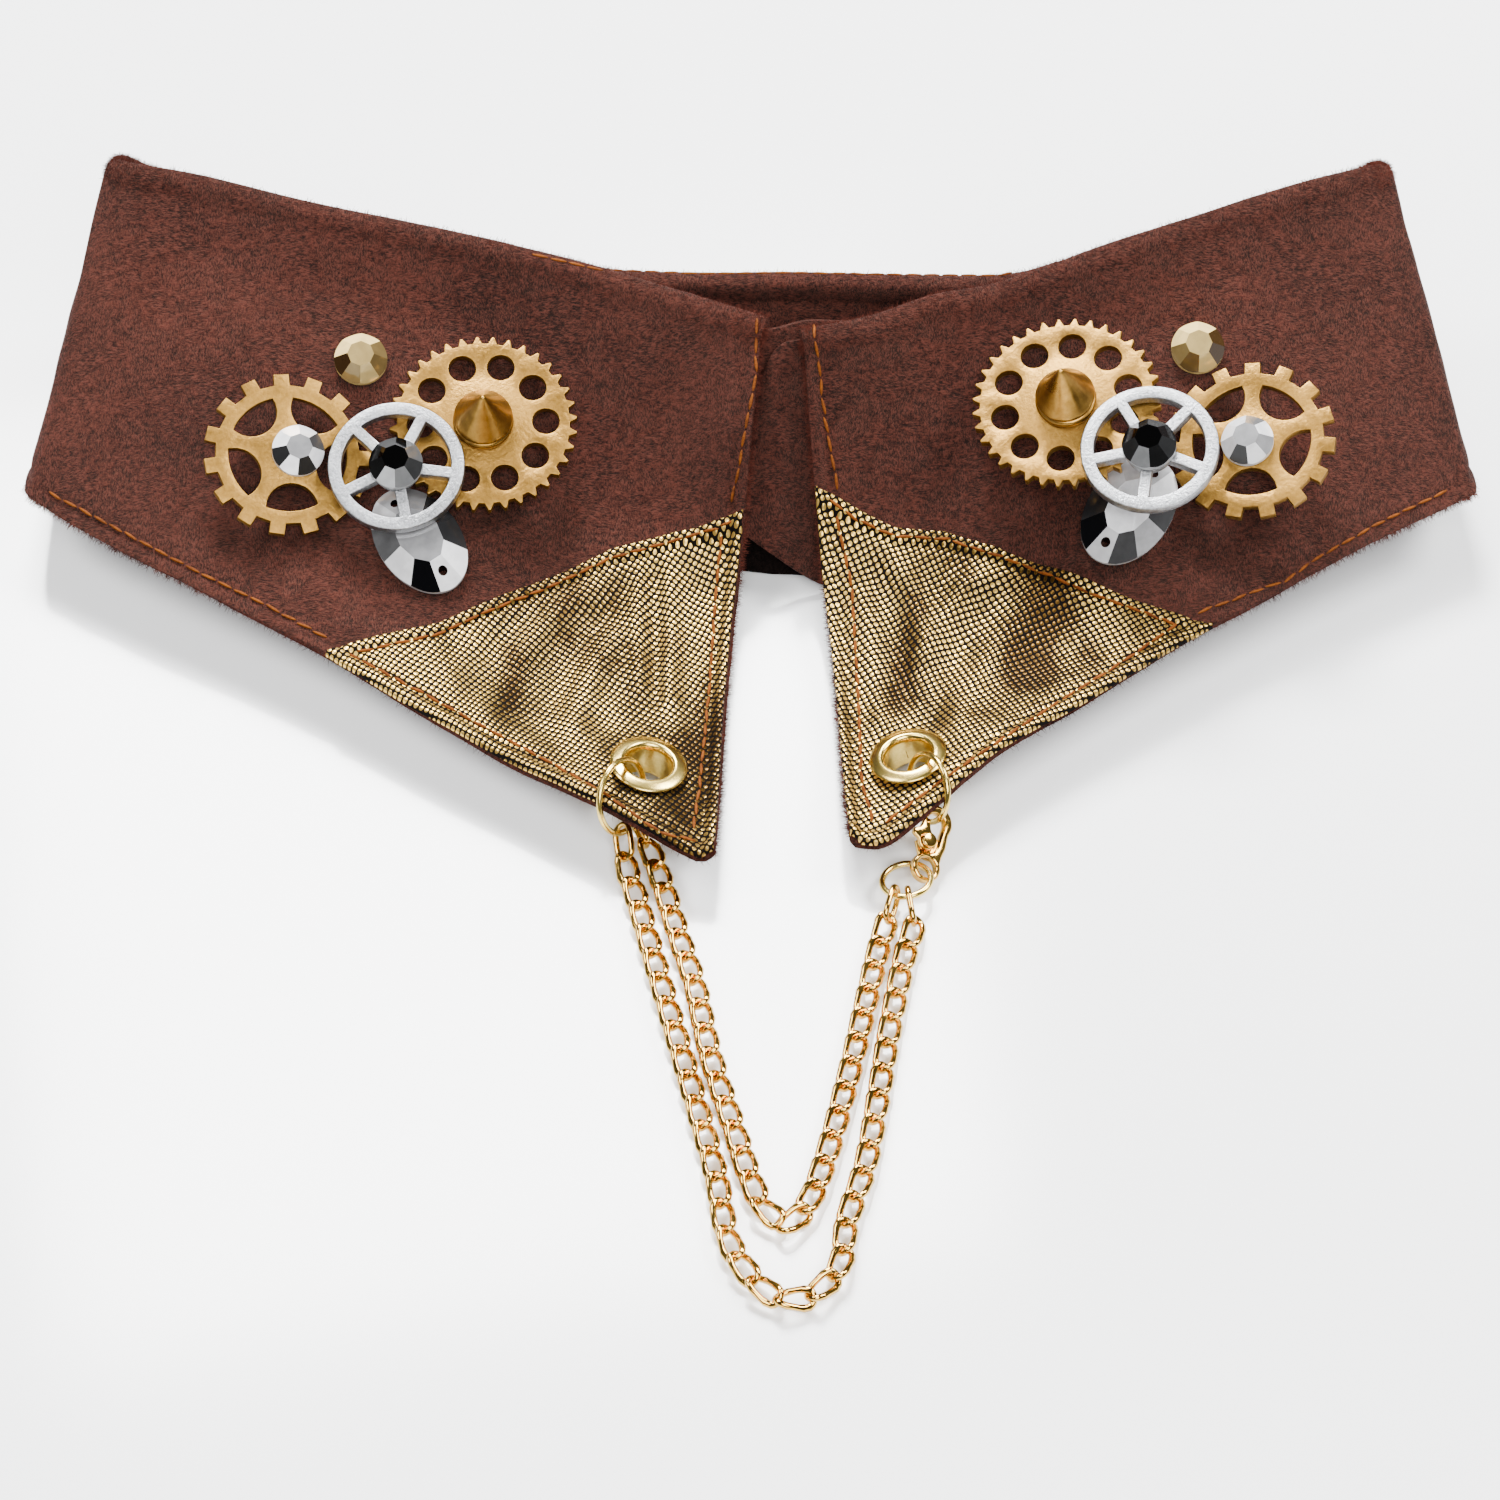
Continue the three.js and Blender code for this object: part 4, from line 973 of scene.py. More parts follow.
def join(bm: BMesh, part: BMesh) -> None:
    """Adds a part to a mesh.

    Args:
        bm: The mesh.
        part: The part. It is freed.
    """
    mesh = bpy.data.meshes.new("part")
    part.to_mesh(mesh)
    part.free()
    bm.from_mesh(mesh)
    bpy.data.meshes.remove(mesh)


def grid_mesh(columns: int, rows: int, place: Callable[[float, float], Vector]) -> BMesh:
    """Grid whose points go where a function of two shares from 0 to 1 puts them.

    Args:
        columns: Faces along the first share.
        rows: Faces along the second share.
        place: Gives the point in metres.

    Returns:
        The grid, with a UV map of the two shares.
    """
    bm = bmesh.new()
    bm.loops.layers.uv.new("UVMap")
    bmesh.ops.create_grid(bm, x_segments=columns, y_segments=rows, size=1.0, calc_uvs=True)
    for vert in bm.verts:
        vert.co = place((vert.co.x + 1) / 2, (vert.co.y + 1) / 2)
    return bm


def seat_matrix(node: str, lean: Pair, turn: float = 0.0, below_top: float | None = None) -> Matrix:
    """Frame of a solid of turned or point-symmetric outline, in metres.

    Args:
        node: The solid's name.
        lean: X and Y of its axis.
        turn: Turn about the axis, in degrees.
        below_top: Distance of the origin below the highest point. None takes the lowest point.

    Returns:
        Matrix from millimetres about the piece's own axis to metres in place.
    """
    z = Vector((*lean, math.sqrt(1 - lean[0] ** 2 - lean[1] ** 2)))
    x = (Vector((1, 0, 0)) - z * z.x).normalized()
    basis = Matrix((x, z.cross(x), z)).transposed()
    points = {tuple(round(c, 7) for c in vert.co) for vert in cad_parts[node].data.vertices}
    local = [basis.transposed() @ Vector(p) for p in points]
    middle = [sum(p[a] for p in local) / len(local) for a in (0, 1)]
    heights = [p.z for p in local]
    bottom = min(heights) if below_top is None else max(heights) - below_top * MM
    origin = basis @ Vector((*middle, bottom))
    place = Matrix.Translation(origin) @ basis.to_4x4()
    return place @ Matrix.Rotation(math.radians(turn), 4, "Z") @ Matrix.Scale(MM, 4)


def polar(radius: float, degrees: float) -> Pair:
    """Point at a distance and angle from the origin."""
    angle = math.radians(degrees)
    return radius * math.cos(angle), radius * math.sin(angle)


def arc(radius: float, start: float, end: float, count: int, centre: Pair = (0.0, 0.0)) -> list[Pair]:
    """Points on an arc, both ends among them."""
    spots = (polar(radius, start + (end - start) * i / (count - 1)) for i in range(count))
    return [(x + centre[0], y + centre[1]) for x, y in spots]


def ring_points(radius: float, count: int, centre: Pair = (0.0, 0.0)) -> list[Pair]:
    """Evenly spaced points on a circle."""
    return arc(radius, 0.0, 360.0, count + 1, centre)[:-1]


def is_level(edge: bmesh.types.BMEdge) -> bool:
    """Whether an edge's ends are equally high."""
    return abs(edge.verts[0].co.z - edge.verts[1].co.z) < 1e-6


def flat_plate(
    outline: Sequence[Pair],
    holes: Sequence[Sequence[Pair]],
    thickness: float,
    edge: float,
    bottom: float = 0.0,
    steps: int = 2,
) -> BMesh:
    """Plate with holes and rounded edges, in millimetres.

    Args:
        outline: Its outer edge.
        holes: The edges of its holes.
        thickness: Its thickness.
        edge: Width of the rounding.
        bottom: Height of its underside.
        steps: Faces across the rounding.

    Returns:
        The plate.
    """
    bm = bmesh.new()
    for loop in (outline, *holes):
        verts = [bm.verts.new((x, y, bottom)) for x, y in loop]
        for a, b in zip(verts, verts[1:] + verts[:1]):
            bm.edges.new((a, b))
    bmesh.ops.triangle_fill(bm, use_beauty=True, use_dissolve=False, edges=bm.edges[:])
    made = bmesh.ops.extrude_face_region(bm, geom=bm.faces[:], use_keep_orig=True)
    tops = [part for part in made["geom"] if isinstance(part, bmesh.types.BMVert)]
    bmesh.ops.translate(bm, verts=tops, vec=(0, 0, thickness))
    bmesh.ops.recalc_face_normals(bm, faces=bm.faces)
    rims = [e for e in bm.edges if is_level(e) and e.is_manifold and e.calc_face_angle() > RIM_ANGLE]
    bmesh.ops.bevel(bm, geom=rims, offset=edge, segments=steps, profile=0.5, affect="EDGES", material=-1)
    return bm


def spin_round(bm: BMesh, geom: list, steps: int) -> None:
    """Spins parts a full turn about Z, and closes the body."""
    bmesh.ops.spin(bm, geom=geom, cent=(0, 0, 0), axis=(0, 0, 1), angle=math.tau, steps=steps, use_merge=True)
    tidy_faces(bm, WELD)


def wire_ring(radius: float, wire: float, sides: int, steps: int) -> BMesh:
    """Round ring of round wire about Z, in millimetres.

    Args:
        radius: From its middle to the wire's middle.
        wire: The wire's radius.
        sides: Faces round the wire.
        steps: Faces along it.

    Returns:
        The ring.
    """
    bm = bmesh.new()
    place = Matrix.Translation((radius, 0, 0)) @ Matrix.Rotation(math.pi / 2, 4, "X")
    made = bmesh.ops.create_circle(bm, segments=sides, radius=wire, matrix=place)
    spin_round(bm, made["verts"] + bm.edges[:], steps)
    return bm


def turned(profile: Sequence[Pair], steps: int = 48) -> BMesh:
    """Body turned about Z from a profile of radius and height, in millimetres.

    Args:
        profile: Radius and height of each point.
        steps: Faces round the body.

    Returns:
        The body.
    """
    bm = bmesh.new()
    verts = [bm.verts.new((radius, 0, z)) for radius, z in profile]
    pairs = list(zip(verts, verts[1:]))
    if profile[0][0] > 0:
        pairs.append((verts[-1], verts[0]))
    edges = [bm.edges.new(pair) for pair in pairs]
    spin_round(bm, verts + edges, steps)
    return bm


def cut_stone(size: Triple, table: float, girdle: float, painted_reflections: Sequence[float], start: float = 0.0) -> BMesh:
    """Stone with a flat back, a girdle, one ring of crown facets and a table, in millimetres.

    Args:
        size: Its radii along X and Y and its height.
        table: The table's share of the radius.
        girdle: Height of the girdle's upper edge.
        painted_reflections: Painted reflection of the table, then of each crown facet, from 0 dark to 1 bright.
        start: Angle of the first facet, in degrees.

    Returns:
        The stone, with its facets' painted reflections in a face attribute.
    """
    bm = bmesh.new()
    # Face attribute for each facet's painted reflection.
    tone = bm.faces.layers.float.new(PAINTED_REFLECTION)
    height = size[2]
    bmesh.ops.create_cone(bm, cap_ends=True, segments=64, radius1=1, radius2=1, depth=height)
    bmesh.ops.translate(bm, verts=bm.verts, vec=(0, 0, height / 2))
    count = len(painted_reflections) - 1
    for i in range(count):
        x, y = polar(1, start + 360 * i / count)
        rise, run = height - girdle, 1 - table * math.cos(math.pi / count)
        normal = Vector((x * rise, y * rise, run)).normalized()
        whole = bm.verts[:] + bm.edges[:] + bm.faces[:]
        cut = bmesh.ops.bisect_plane(
            bm, geom=whole, dist=1e-5, plane_co=(x, y, girdle), plane_no=normal, clear_outer=True
        )
        rim = [part for part in cut["geom_cut"] if isinstance(part, bmesh.types.BMEdge)]
        for face in bmesh.ops.contextual_create(bm, geom=rim)["faces"]:
            face[tone] = painted_reflections[i + 1]
    bmesh.ops.remove_doubles(bm, verts=bm.verts, dist=WELD)
    bmesh.ops.dissolve_degenerate(bm, edges=bm.edges, dist=WELD)
    bmesh.ops.recalc_face_normals(bm, faces=bm.faces)
    # The table and the girdle faces get their painted reflections too.
    for face in bm.faces:
        if face.normal.z > 0.999:
            face[tone] = painted_reflections[0]
        elif abs(face.normal.z) < 0.05:
            face[tone] = GIRDLE_PAINTED_REFLECTION
    bmesh.ops.scale(bm, verts=bm.verts, vec=(size[0], size[1], 1))
    return bm


def bored(bm: BMesh, places: Sequence[Pair], radius: float, depth: float) -> BMesh:
    """Cuts round holes along Z through a closed body.

    Args:
        bm: The body. It is freed.
        places: The holes' middles.
        radius: Their radius.
        depth: A length that goes through the body.

    Returns:
        The body with its holes.
    """
    solid = bpy.data.objects.new("bored", bpy.data.meshes.new("bored"))
    tool = bpy.data.objects.new("drill", bpy.data.meshes.new("drill"))
    bm.to_mesh(solid.data)
    bm.free()
    drill = bmesh.new()
    for x, y in places:
        place = Matrix.Translation((x, y, 0))
        bmesh.ops.create_cone(
            drill, cap_ends=True, segments=20, radius1=radius, radius2=radius, depth=depth, matrix=place
        )
    drill.to_mesh(tool.data)
    drill.free()
    for made in (solid, tool):
        bpy.context.scene.collection.objects.link(made)
    cut = solid.modifiers.new("cut", "BOOLEAN")
    cut.operation, cut.object, cut.solver = "DIFFERENCE", tool, "EXACT"
    bpy.context.view_layer.update()
    evaluated = solid.evaluated_get(bpy.context.evaluated_depsgraph_get())
    found = bmesh.new()
    found.from_mesh(evaluated.to_mesh())
    evaluated.to_mesh_clear()
    for made in (solid, tool):
        bpy.data.objects.remove(made)
    return found


def relief(point: Vector, coarse: float, fine: float) -> float:
    """Height of the cloth's own waves at a point, both amounts in millimetres."""
    return coarse * noise.noise(point / 17.0) + fine * noise.noise(point / 5.0)


@dataclass
class Hem:
    """How a stitched edge rises and dips over its seam allowance.

    Attributes:
        inset: Distance of the stitches from the edge.
        dip: Depth of the groove at the stitches.
        rise: Height of the padded roll between them and the edge.
        width: Width of the groove.
    """

    inset: float = 2.1
    dip: float = 0.42
    rise: float = 0.22
    width: float = 0.75

    def height(self, away: float) -> float:
        """Height over the plain cloth at a distance from the edge."""
        roll = self.rise * bell(away - self.inset * 0.45, self.inset * 0.5)
        return roll - self.dip * bell(away - self.inset, self.width)


@dataclass
class CollarCloth:
    """The folded leaf and the neckband.

    Attributes:
        form: The leaf's surface.
        columns: Faces along the leaf.
        rows: Faces across it, the fold's among them.
        roll_rows: Faces across the fold.
        band_rows: Faces across the neckband.
        thickness: Thickness of the leaf's cloth.
        rim: Rounding of the leaf's rim.
        band_thickness: Thickness of the neckband.
        band_rim: Rounding of the neckband's rim.
        band_drop: Height of the leaf's crest over the neckband's top.
        hole: Radius of the holes under the eyelets.
        hole_depth: How far along an eyelet's axis the cloth is opened.
        hem: The stitched edge's profile.
        trees: Each sheet's outer faces, for what is laid on them.
    """

    form: LeafForm
    columns: int = 300
    rows: int = 64
    roll_rows: int = 12
    band_rows: int = 26
    thickness: float = 1.55
    rim: float = 0.5
    band_thickness: float = 1.4
    band_rim: float = 0.45
    band_drop: float = 3.2
    hole: float = 4.3
    hole_depth: float = 8.0
    hem: Hem = field(default_factory=Hem)
    trees: dict[str, BVHTree] = field(default_factory=dict)

    def share_to_row(self, share: float) -> float:
        """Row of the leaf's surface for a share of the way across."""
        roll = self.roll_rows / self.rows
        return share / roll - 1 if share < roll else (share - roll) / (1 - roll)

    def lift(self, k: float, t: float, point: Vector) -> float:
        """Height of the leaf's cloth over its plain surface.

        Args:
            k: Station.
            t: Row.
            point: The plain surface's point.

        Returns:
            The height along the normal.
        """
        if t <= 0:
            return 0.15 * noise.noise(point / 9.0)
        to_hem = (self.form.point(k, 1.0) - point).length
        to_front = min((self.form.point(end, t) - point).length for end in (0.0, self.form.last))
        height = relief(point, 0.5, 0.16) * smooth_step(0.0, 0.2, t) + self.hem.height(to_hem)
        return height + self.hem.height(to_front)

    def leaf_point(self, k: float, t: float, over: float = 0.0) -> Vector:
        """Point of the leaf's cloth in metres, some height over its outer side."""
        point = self.form.point(k, t)
        return PLACE @ (point + self.form.normal(k, t) * (self.lift(k, t, point) + over))

    def open_eyelets(self, bm: BMesh, axes: Sequence[Matrix]) -> None:
        """Removes the faces round the eyelets' axes.

        Args:
            bm: The sheet.
            axes: The eyelets' frames.
        """
        for axis in axes:
            inverse = axis.inverted()
            spots = [(face, inverse @ face.calc_center_median()) for face in bm.faces]
            near = [face for face, spot in spots if spot.xy.length < self.hole and abs(spot.z) < self.hole_depth]
            bmesh.ops.delete(bm, geom=near, context="FACES")

    def thicken(self, bm: BMesh, thickness: float, rim: float) -> None:
        """Gives a sheet its thickness below its faces and rounds its rim.

        Args:
            bm: The sheet, its faces turned to its outer side.
            thickness: Thickness in millimetres.
            rim: Width of the rounding in millimetres.
        """
        bmesh.ops.solidify(bm, geom=bm.faces[:], thickness=thickness * MM)
        bmesh.ops.recalc_face_normals(bm, faces=bm.faces)
        edges = [e for e in bm.edges if e.is_manifold and e.calc_face_angle() > 1.0]
        bmesh.ops.bevel(
            bm, geom=edges, offset=rim * MM, segments=3, profile=0.5, affect="EDGES", material=-1, clamp_overlap=True
        )

    def build_leaf(self, finishes: Finishes, eyelets: Sequence[Matrix]) -> Object:
        """Makes the leaf.

        Args:
            finishes: The finishes.
            eyelets: The eyelets' frames.

        Returns:
            The leaf.
        """
        last = self.form.last
        bm = grid_mesh(self.columns, self.rows, lambda u, v: self.leaf_point(u * last, self.share_to_row(v)))
        face_up(bm)
        self.open_eyelets(bm, eyelets)
        self.trees["leaf"] = BVHTree.FromBMesh(bm)
        self.thicken(bm, self.thickness, self.rim)
        return finish_piece(bm, "leaf_cloth", finishes.suede, ["collar_leaf"], sharp=70)

    def band_point(self, rows: Rows, k: float, t: float) -> Vector:
        """Point of the neckband's inner face in metres.

        Args:
            rows: Sections of the neckband.
            k: Station.
            t: Share of the way down.

        Returns:
            The point.
        """
        top = rows.point("crest", k) - Vector((0, 0, self.band_drop))
        point = top.lerp(rows.point("foot", k), t)
        return PLACE @ (point - rows.outward(k) * (0.35 * noise.noise(point / 14.0) - 0.1))

    def build_band(self, finishes: Finishes) -> Object:
        """Makes the neckband.

        Args:
            finishes: The finishes.

        Returns:
            The neckband.
        """
        keep = [SECTION_COLUMNS.index(name) for name in END_COLUMNS]
        middle = [tuple(row[i] for i in keep) for row in SECTIONS]
        rows = Rows(END_COLUMNS, [*END_BEHIND, *middle, *END_IN_FRONT])
        last = len(rows.rows) - 1
        bm = grid_mesh(self.columns, self.band_rows, lambda u, v: self.band_point(rows, u * last, v))
        bmesh.ops.recalc_face_normals(bm, faces=bm.faces)
        spot = PLACE @ rows.point("foot", 0.5 * last)
        back = min(bm.faces, key=lambda face: (face.calc_center_median() - spot).length)
        if back.normal.dot(rows.outward(0.5 * last)) > 0:
            bmesh.ops.reverse_faces(bm, faces=bm.faces)
        self.trees["band"] = BVHTree.FromBMesh(bm)
        self.thicken(bm, self.band_thickness, self.band_rim)
        return finish_piece(bm, "neckband_cloth", finishes.suede, ["neckband"], sharp=70)


@dataclass(frozen=True)
class Crease:
    """A fold in a foil tip.

    Attributes:
        line: Pixels of the photo along it.
        width: Its half width, in millimetres.
        height: Its height, in millimetres.
    """

    line: tuple[Pair, ...]
    width: float
    height: float

    def at(self, px: float, py: float, scale: float) -> float:
        """Height at a pixel, with the width turned into pixels by a scale.

        Args:
            px: The pixel's X.
            py: The pixel's Y.
            scale: Pixels in a millimetre.

        Returns:
            The height in millimetres.
        """
        best = 1e9
        for (ax, ay), (bx, by) in zip(self.line, self.line[1:]):
            dx, dy = bx - ax, by - ay
            u = min(max(((px - ax) * dx + (py - ay) * dy) / (dx * dx + dy * dy), 0), 1)
            best = min(best, math.hypot(px - ax - u * dx, py - ay - u * dy) + 1e-9)
        return self.height * bell(best, self.width * scale)


@dataclass
class FoilTip:
    """A foil patch over one point of the leaf.

    Attributes:
        side: "left" or "right".
        first: Station of the front edge.
        far: Station past the seam's end at the hem.
        seam: The seam's points in the drawing frame, X and Y.
        creases: The folds that it has.
        over: Height of its middle over the leaf's cloth.
        wrap: Share of its rows that goes round the hem.
        reach_out: How far it stands off the hem there.
        fall: How far it goes down there.
        thickness: Its thickness.
        rim: Rounding of its rim.
        columns: Faces along the seam.
        rows: Faces from the seam to the hem.
        flange: Radii from the eyelet's axis that are fully pressed and fully free.
        pressed_to: Height against the eyelet's flange where it is pressed.
        hem: The stitched edge's profile.
    """

    side: str
    first: float
    far: float
    seam: tuple[Pair, ...]
    creases: tuple[Crease, ...]
    over: float = 0.62
    wrap: float = 0.05
    reach_out: float = 0.7
    fall: float = 0.95
    thickness: float = 0.4
    rim: float = 0.15
    columns: int = 96
    rows: int = 110
    flange: Pair = (5.6, 9.5)
    pressed_to: float = -0.12
    hem: Hem = field(default_factory=lambda: Hem(2.0, 0.3, 0.3, 0.5))

    def behind(self, x: float, y: float) -> float:
        """How far behind the seam a point lies along Y.

        Args:
            x: The point's X.
            y: The point's Y.

        Returns:
            The distance in millimetres.
        """
        points = sorted(self.seam)
        for (ax, ay), (bx, by) in zip(points, points[1:]):
            if x <= bx:
                break
        return y - (ay + (by - ay) * (x - ax) / (bx - ax))

    def seam_row(self, form: LeafForm, k: float) -> float:
        """Row of the leaf where the seam crosses station k.

        Args:
            form: The leaf's surface.
            k: Station.

        Returns:
            The row.
        """
        low, high = 0.0, 1.0
        for _ in range(18):
            middle = (low + high) / 2
            point = form.point(k, middle)
            low, high = (middle, high) if self.behind(point.x, point.y) > 0 else (low, middle)
        return low

    def lift(self, form: LeafForm, camera: PhotoCamera, k: float, t: float) -> float:
        """Height of the patch over the leaf's cloth.

        Args:
            form: The leaf's surface.
            camera: The camera that the creases' pixels are seen by.
            k: Station.
            t: Row.

        Returns:
            The height in millimetres.
        """
        point = form.point(k, t)
        px, py, scale = camera.pixel(point)
        to_seam = max(-self.behind(point.x, point.y), 0.0) * 0.9
        edges = form.point(k, 1.0), form.point(self.first, t)
        inside = smooth_step(1.0, 7.0, min(to_seam, *((edge - point).length for edge in edges)))
        fold = sum(crease.at(px, py, scale) for crease in self.creases) * inside
        long_wave = Vector((point.x / 4, point.y / 11, 3))
        ripple = (0.25 * noise.noise(point / 6.0) + 0.2 * noise.noise(long_wave)) * inside
        height = self.over + fold + ripple + self.hem.height(to_seam)
        return height - 0.25 if k == self.first else height

    def build(self, cloth: CollarCloth, camera: PhotoCamera, coat: Coat, eyelet: Matrix) -> Object:
        """Makes the patch.

        Args:
            cloth: The cloth that it lies on.
            camera: The camera that the creases' pixels are seen by.
            coat: Its finish.
            eyelet: Frame of the eyelet through it.

        Returns:
            The patch.
        """
        form = cloth.form
        stops = [self.first + (self.far - self.first) * i / self.columns for i in range(self.columns + 1)]
        starts = [self.seam_row(form, k) for k in stops]
        ends = [i for i, row in enumerate(starts) if row > 0.995]
        reach = (ends[0] if ends else self.columns) / self.columns
        inverse = eyelet.inverted()

        def place(u: float, v: float) -> Vector:
            """Point of the patch at a share of its way along the seam and one of its way to the hem.

            Args:
                u: Share of the way along the seam.
                v: Share of the way to the hem.

            Returns:
                The point in metres.
            """
            share = u * reach
            k = self.first + (self.far - self.first) * share
            slot = share * self.columns
            i = min(int(slot), self.columns - 1)
            row = starts[i] + (starts[i + 1] - starts[i]) * (slot - i)
            flat = min(v / (1 - self.wrap), 1.0)
            t = row + (1 - row) * flat
            local = inverse @ cloth.leaf_point(k, t, self.lift(form, camera, k, t))
            if local.z > self.pressed_to:
                free = smooth_step(*self.flange, local.xy.length)
                local.z = local.z * free + self.pressed_to * (1 - free)
            spot = eyelet @ local
            if flat < 1:
                return spot
            turn = (v - 1 + self.wrap) / self.wrap * math.pi / 2
            out = (cloth.leaf_point(k, 1.0) - cloth.leaf_point(k, 0.96)).normalized()
            up = (PLACE.to_3x3() @ form.normal(k, 1.0)).normalized()
            return spot + (out * math.sin(turn) * self.reach_out - up * (1 - math.cos(turn)) * self.fall) * MM

        bm = grid_mesh(self.columns, self.rows, place)
        bmesh.ops.remove_doubles(bm, verts=bm.verts, dist=0.03 * MM)
        face_up(bm)
        cloth.open_eyelets(bm, [eyelet])
        cloth.trees[self.side] = BVHTree.FromBMesh(bm)
        cloth.thicken(bm, self.thickness, self.rim)
        return finish_piece(bm, f"foil_patch_{self.side}", coat, [f"gold_tip_{self.side}"], sharp=70)


def cast(cloth: CollarCloth, camera: PhotoCamera, px: float, py: float) -> tuple[Vector, Vector] | None:
    """Nearest point of the cloth under a pixel, and its normal, in metres.

    Args:
        cloth: The cloth.
        camera: The camera.
        px: The pixel's X.
        py: The pixel's Y.

    Returns:
        The point and its normal, or None off the cloth.
    """
    eye = PLACE @ camera.eye()
    way = camera.ray(px, py)
    hits = [tree.ray_cast(eye, way) for tree in cloth.trees.values()]
    found = [(hit[3], hit[0], hit[1]) for hit in hits if hit[0] is not None]
    if not found:
        return None
    _, place, normal = min(found, key=lambda hit: hit[0])
    return place, normal if normal.dot(way) < 0 else -normal


@dataclass
class StitchRow:
    """One row of top stitches along pixels of the frame.

    Attributes:
        line: The pixels that it passes.
        pitch: Distance from one stitch to the next, in millimetres.
        length: Length of a stitch.
        width: Its width.
        slant: Most that a stitch turns out of the row, in degrees.
        gap: Step of the row that is left without stitches.
    """

    line: tuple[Pair, ...]
    pitch: float = 2.9
    length: float = 2.7
    width: float = 0.5
    slant: float = 7.0
    gap: float = 6.0

    def add(self, bm: BMesh, cloth: CollarCloth, camera: PhotoCamera, dice: random.Random) -> None:
        """Adds the row's stitches to a bmesh.

        Args:
            bm: The bmesh.
            cloth: The cloth.
            camera: The camera that sees the pixels.
            dice: The random source.
        """
        path: list[tuple[Vector, Vector]] = []
        for (ax, ay), (bx, by) in zip(self.line, self.line[1:]):
            count = max(int(math.hypot(bx - ax, by - ay) / 3), 1)
            for i in range(count):
                hit = cast(cloth, camera, ax + (bx - ax) * i / count, ay + (by - ay) * i / count)
                if hit:
                    path.append(hit)
        travelled, due = 0.0, 0.5 * self.pitch * MM
        for (a, na), (b, _) in zip(path, path[1:]):
            step = (b - a).length
            if 0 < step < self.gap * MM:
                while due <= travelled + step:
                    middle = a.lerp(b, (due - travelled) / step)
                    self.stitch(bm, middle, (b - a).normalized(), na, dice)
                    due += self.pitch * MM
            travelled += step
            due = max(due, travelled) if step >= self.gap * MM else due

    def stitch(self, bm: BMesh, middle: Vector, along: Vector, normal: Vector, dice: random.Random) -> None:
        """Adds one stitch: a slim ellipsoid half sunk in the cloth.

        Args:
            bm: The bmesh.
            middle: The stitch's middle.
            along: The row's way there.
            normal: The cloth's normal there.
            dice: The random source.
        """
        slant = Matrix.Rotation(math.radians(dice.uniform(-self.slant, self.slant)), 3, normal)
        along = (slant @ along).normalized()
        side = normal.cross(along).normalized()
        up = along.cross(side)
        basis = Matrix((along, side, up)).transposed().to_4x4()
        size = Matrix.Diagonal((self.length / 2 * MM, self.width / 2 * MM, self.width * 0.42 * MM, 1))
        place = Matrix.Translation(middle + normal * 0.05 * MM) @ basis @ size
        bmesh.ops.create_icosphere(bm, subdivisions=2, radius=1, matrix=place)


@dataclass
class Fuzz:
    """Loose fibres of the nap along an edge of the cloth.

    Attributes:
        name: The piece's name.
        anchors: Root points, the ways that the fibres leave, and a length for each, in metres.
        width: Width of a fibre at its root, in millimetres.
        taper: Half the width at the root, the bend and the tip, as shares of the width.
    """

    name: str
    anchors: list[tuple[Vector, Vector, float]]
    width: float = 0.07
    taper: Triple = (0.5, 0.4, 0.12)

    def build(self, coat: Coat) -> Object:
        """Makes the fibres as slim bent blades of two faces.

        Args:
            coat: Their finish.

        Returns:
            The piece.
        """
        count = len(self.anchors)
        dice = random.Random(SEED)
        bm = bmesh.new()
        bmesh.ops.create_grid(bm, x_segments=2 * count, y_segments=1, size=1.0)
        faces = sorted(bm.faces, key=lambda f: f.calc_center_median().x)
        seams = [e for i in range(1, count) for e in faces[2 * i].edges if e in set(faces[2 * i - 1].edges)]
        bmesh.ops.split_edges(bm, edges=seams)
        for i, (root, way, length) in enumerate(self.anchors):
            pair = faces[2 * i], faces[2 * i + 1]
            spots = sorted({v for f in pair for v in f.verts}, key=lambda v: (round(v.co.x * 1e4 * count), v.co.y))
            side = way.cross(Vector(dice.uniform(-1, 1) for _ in "XYZ")).normalized()
            curl = Vector(dice.uniform(-1, 1) for _ in "XYZ") * 0.35
            bend = root + (way + curl * 0.3).normalized() * length * 0.55
            for j, stop in enumerate((root, bend, root + (way + curl).normalized() * length)):
                half = side * self.width * MM * self.taper[j]
                spots[2 * j].co, spots[2 * j + 1].co = stop - half, stop + half
        return finish_piece(bm, self.name, coat, sharp=None)


@dataclass(frozen=True)
class Seat:
    """How a trim lies.

    Attributes:
        lean: X and Y of its axis.
        turn: Its turn about the axis, in degrees.
    """

    lean: Pair
    turn: float = 0.0


@dataclass(frozen=True)
class Gear:
    """Toothed edge of a gear, in millimetres.

    Attributes:
        teeth: Number of teeth.
        root: Radius between them.
        tip: Radius at their tips.
        foot: Half a tooth's width at its foot as a share of the pitch.
        end: Half its width at its tip as a share of the pitch.
        start: Angle of the first tooth, in degrees.
    """

    teeth: int
    root: float
    tip: float
    foot: float
    end: float
    start: float = 0.0

    def outline(self) -> list[Pair]:
        """The toothed edge.

        Returns:
            Its points.
        """
        pitch = 360 / self.teeth
        tooth = ((self.root, -self.foot), (self.tip, -self.end), (self.tip, self.end), (self.root, self.foot))
        middles = (self.start + i * pitch for i in range(self.teeth))
        return [polar(radius, middle + share * pitch) for middle in middles for radius, share in tooth]


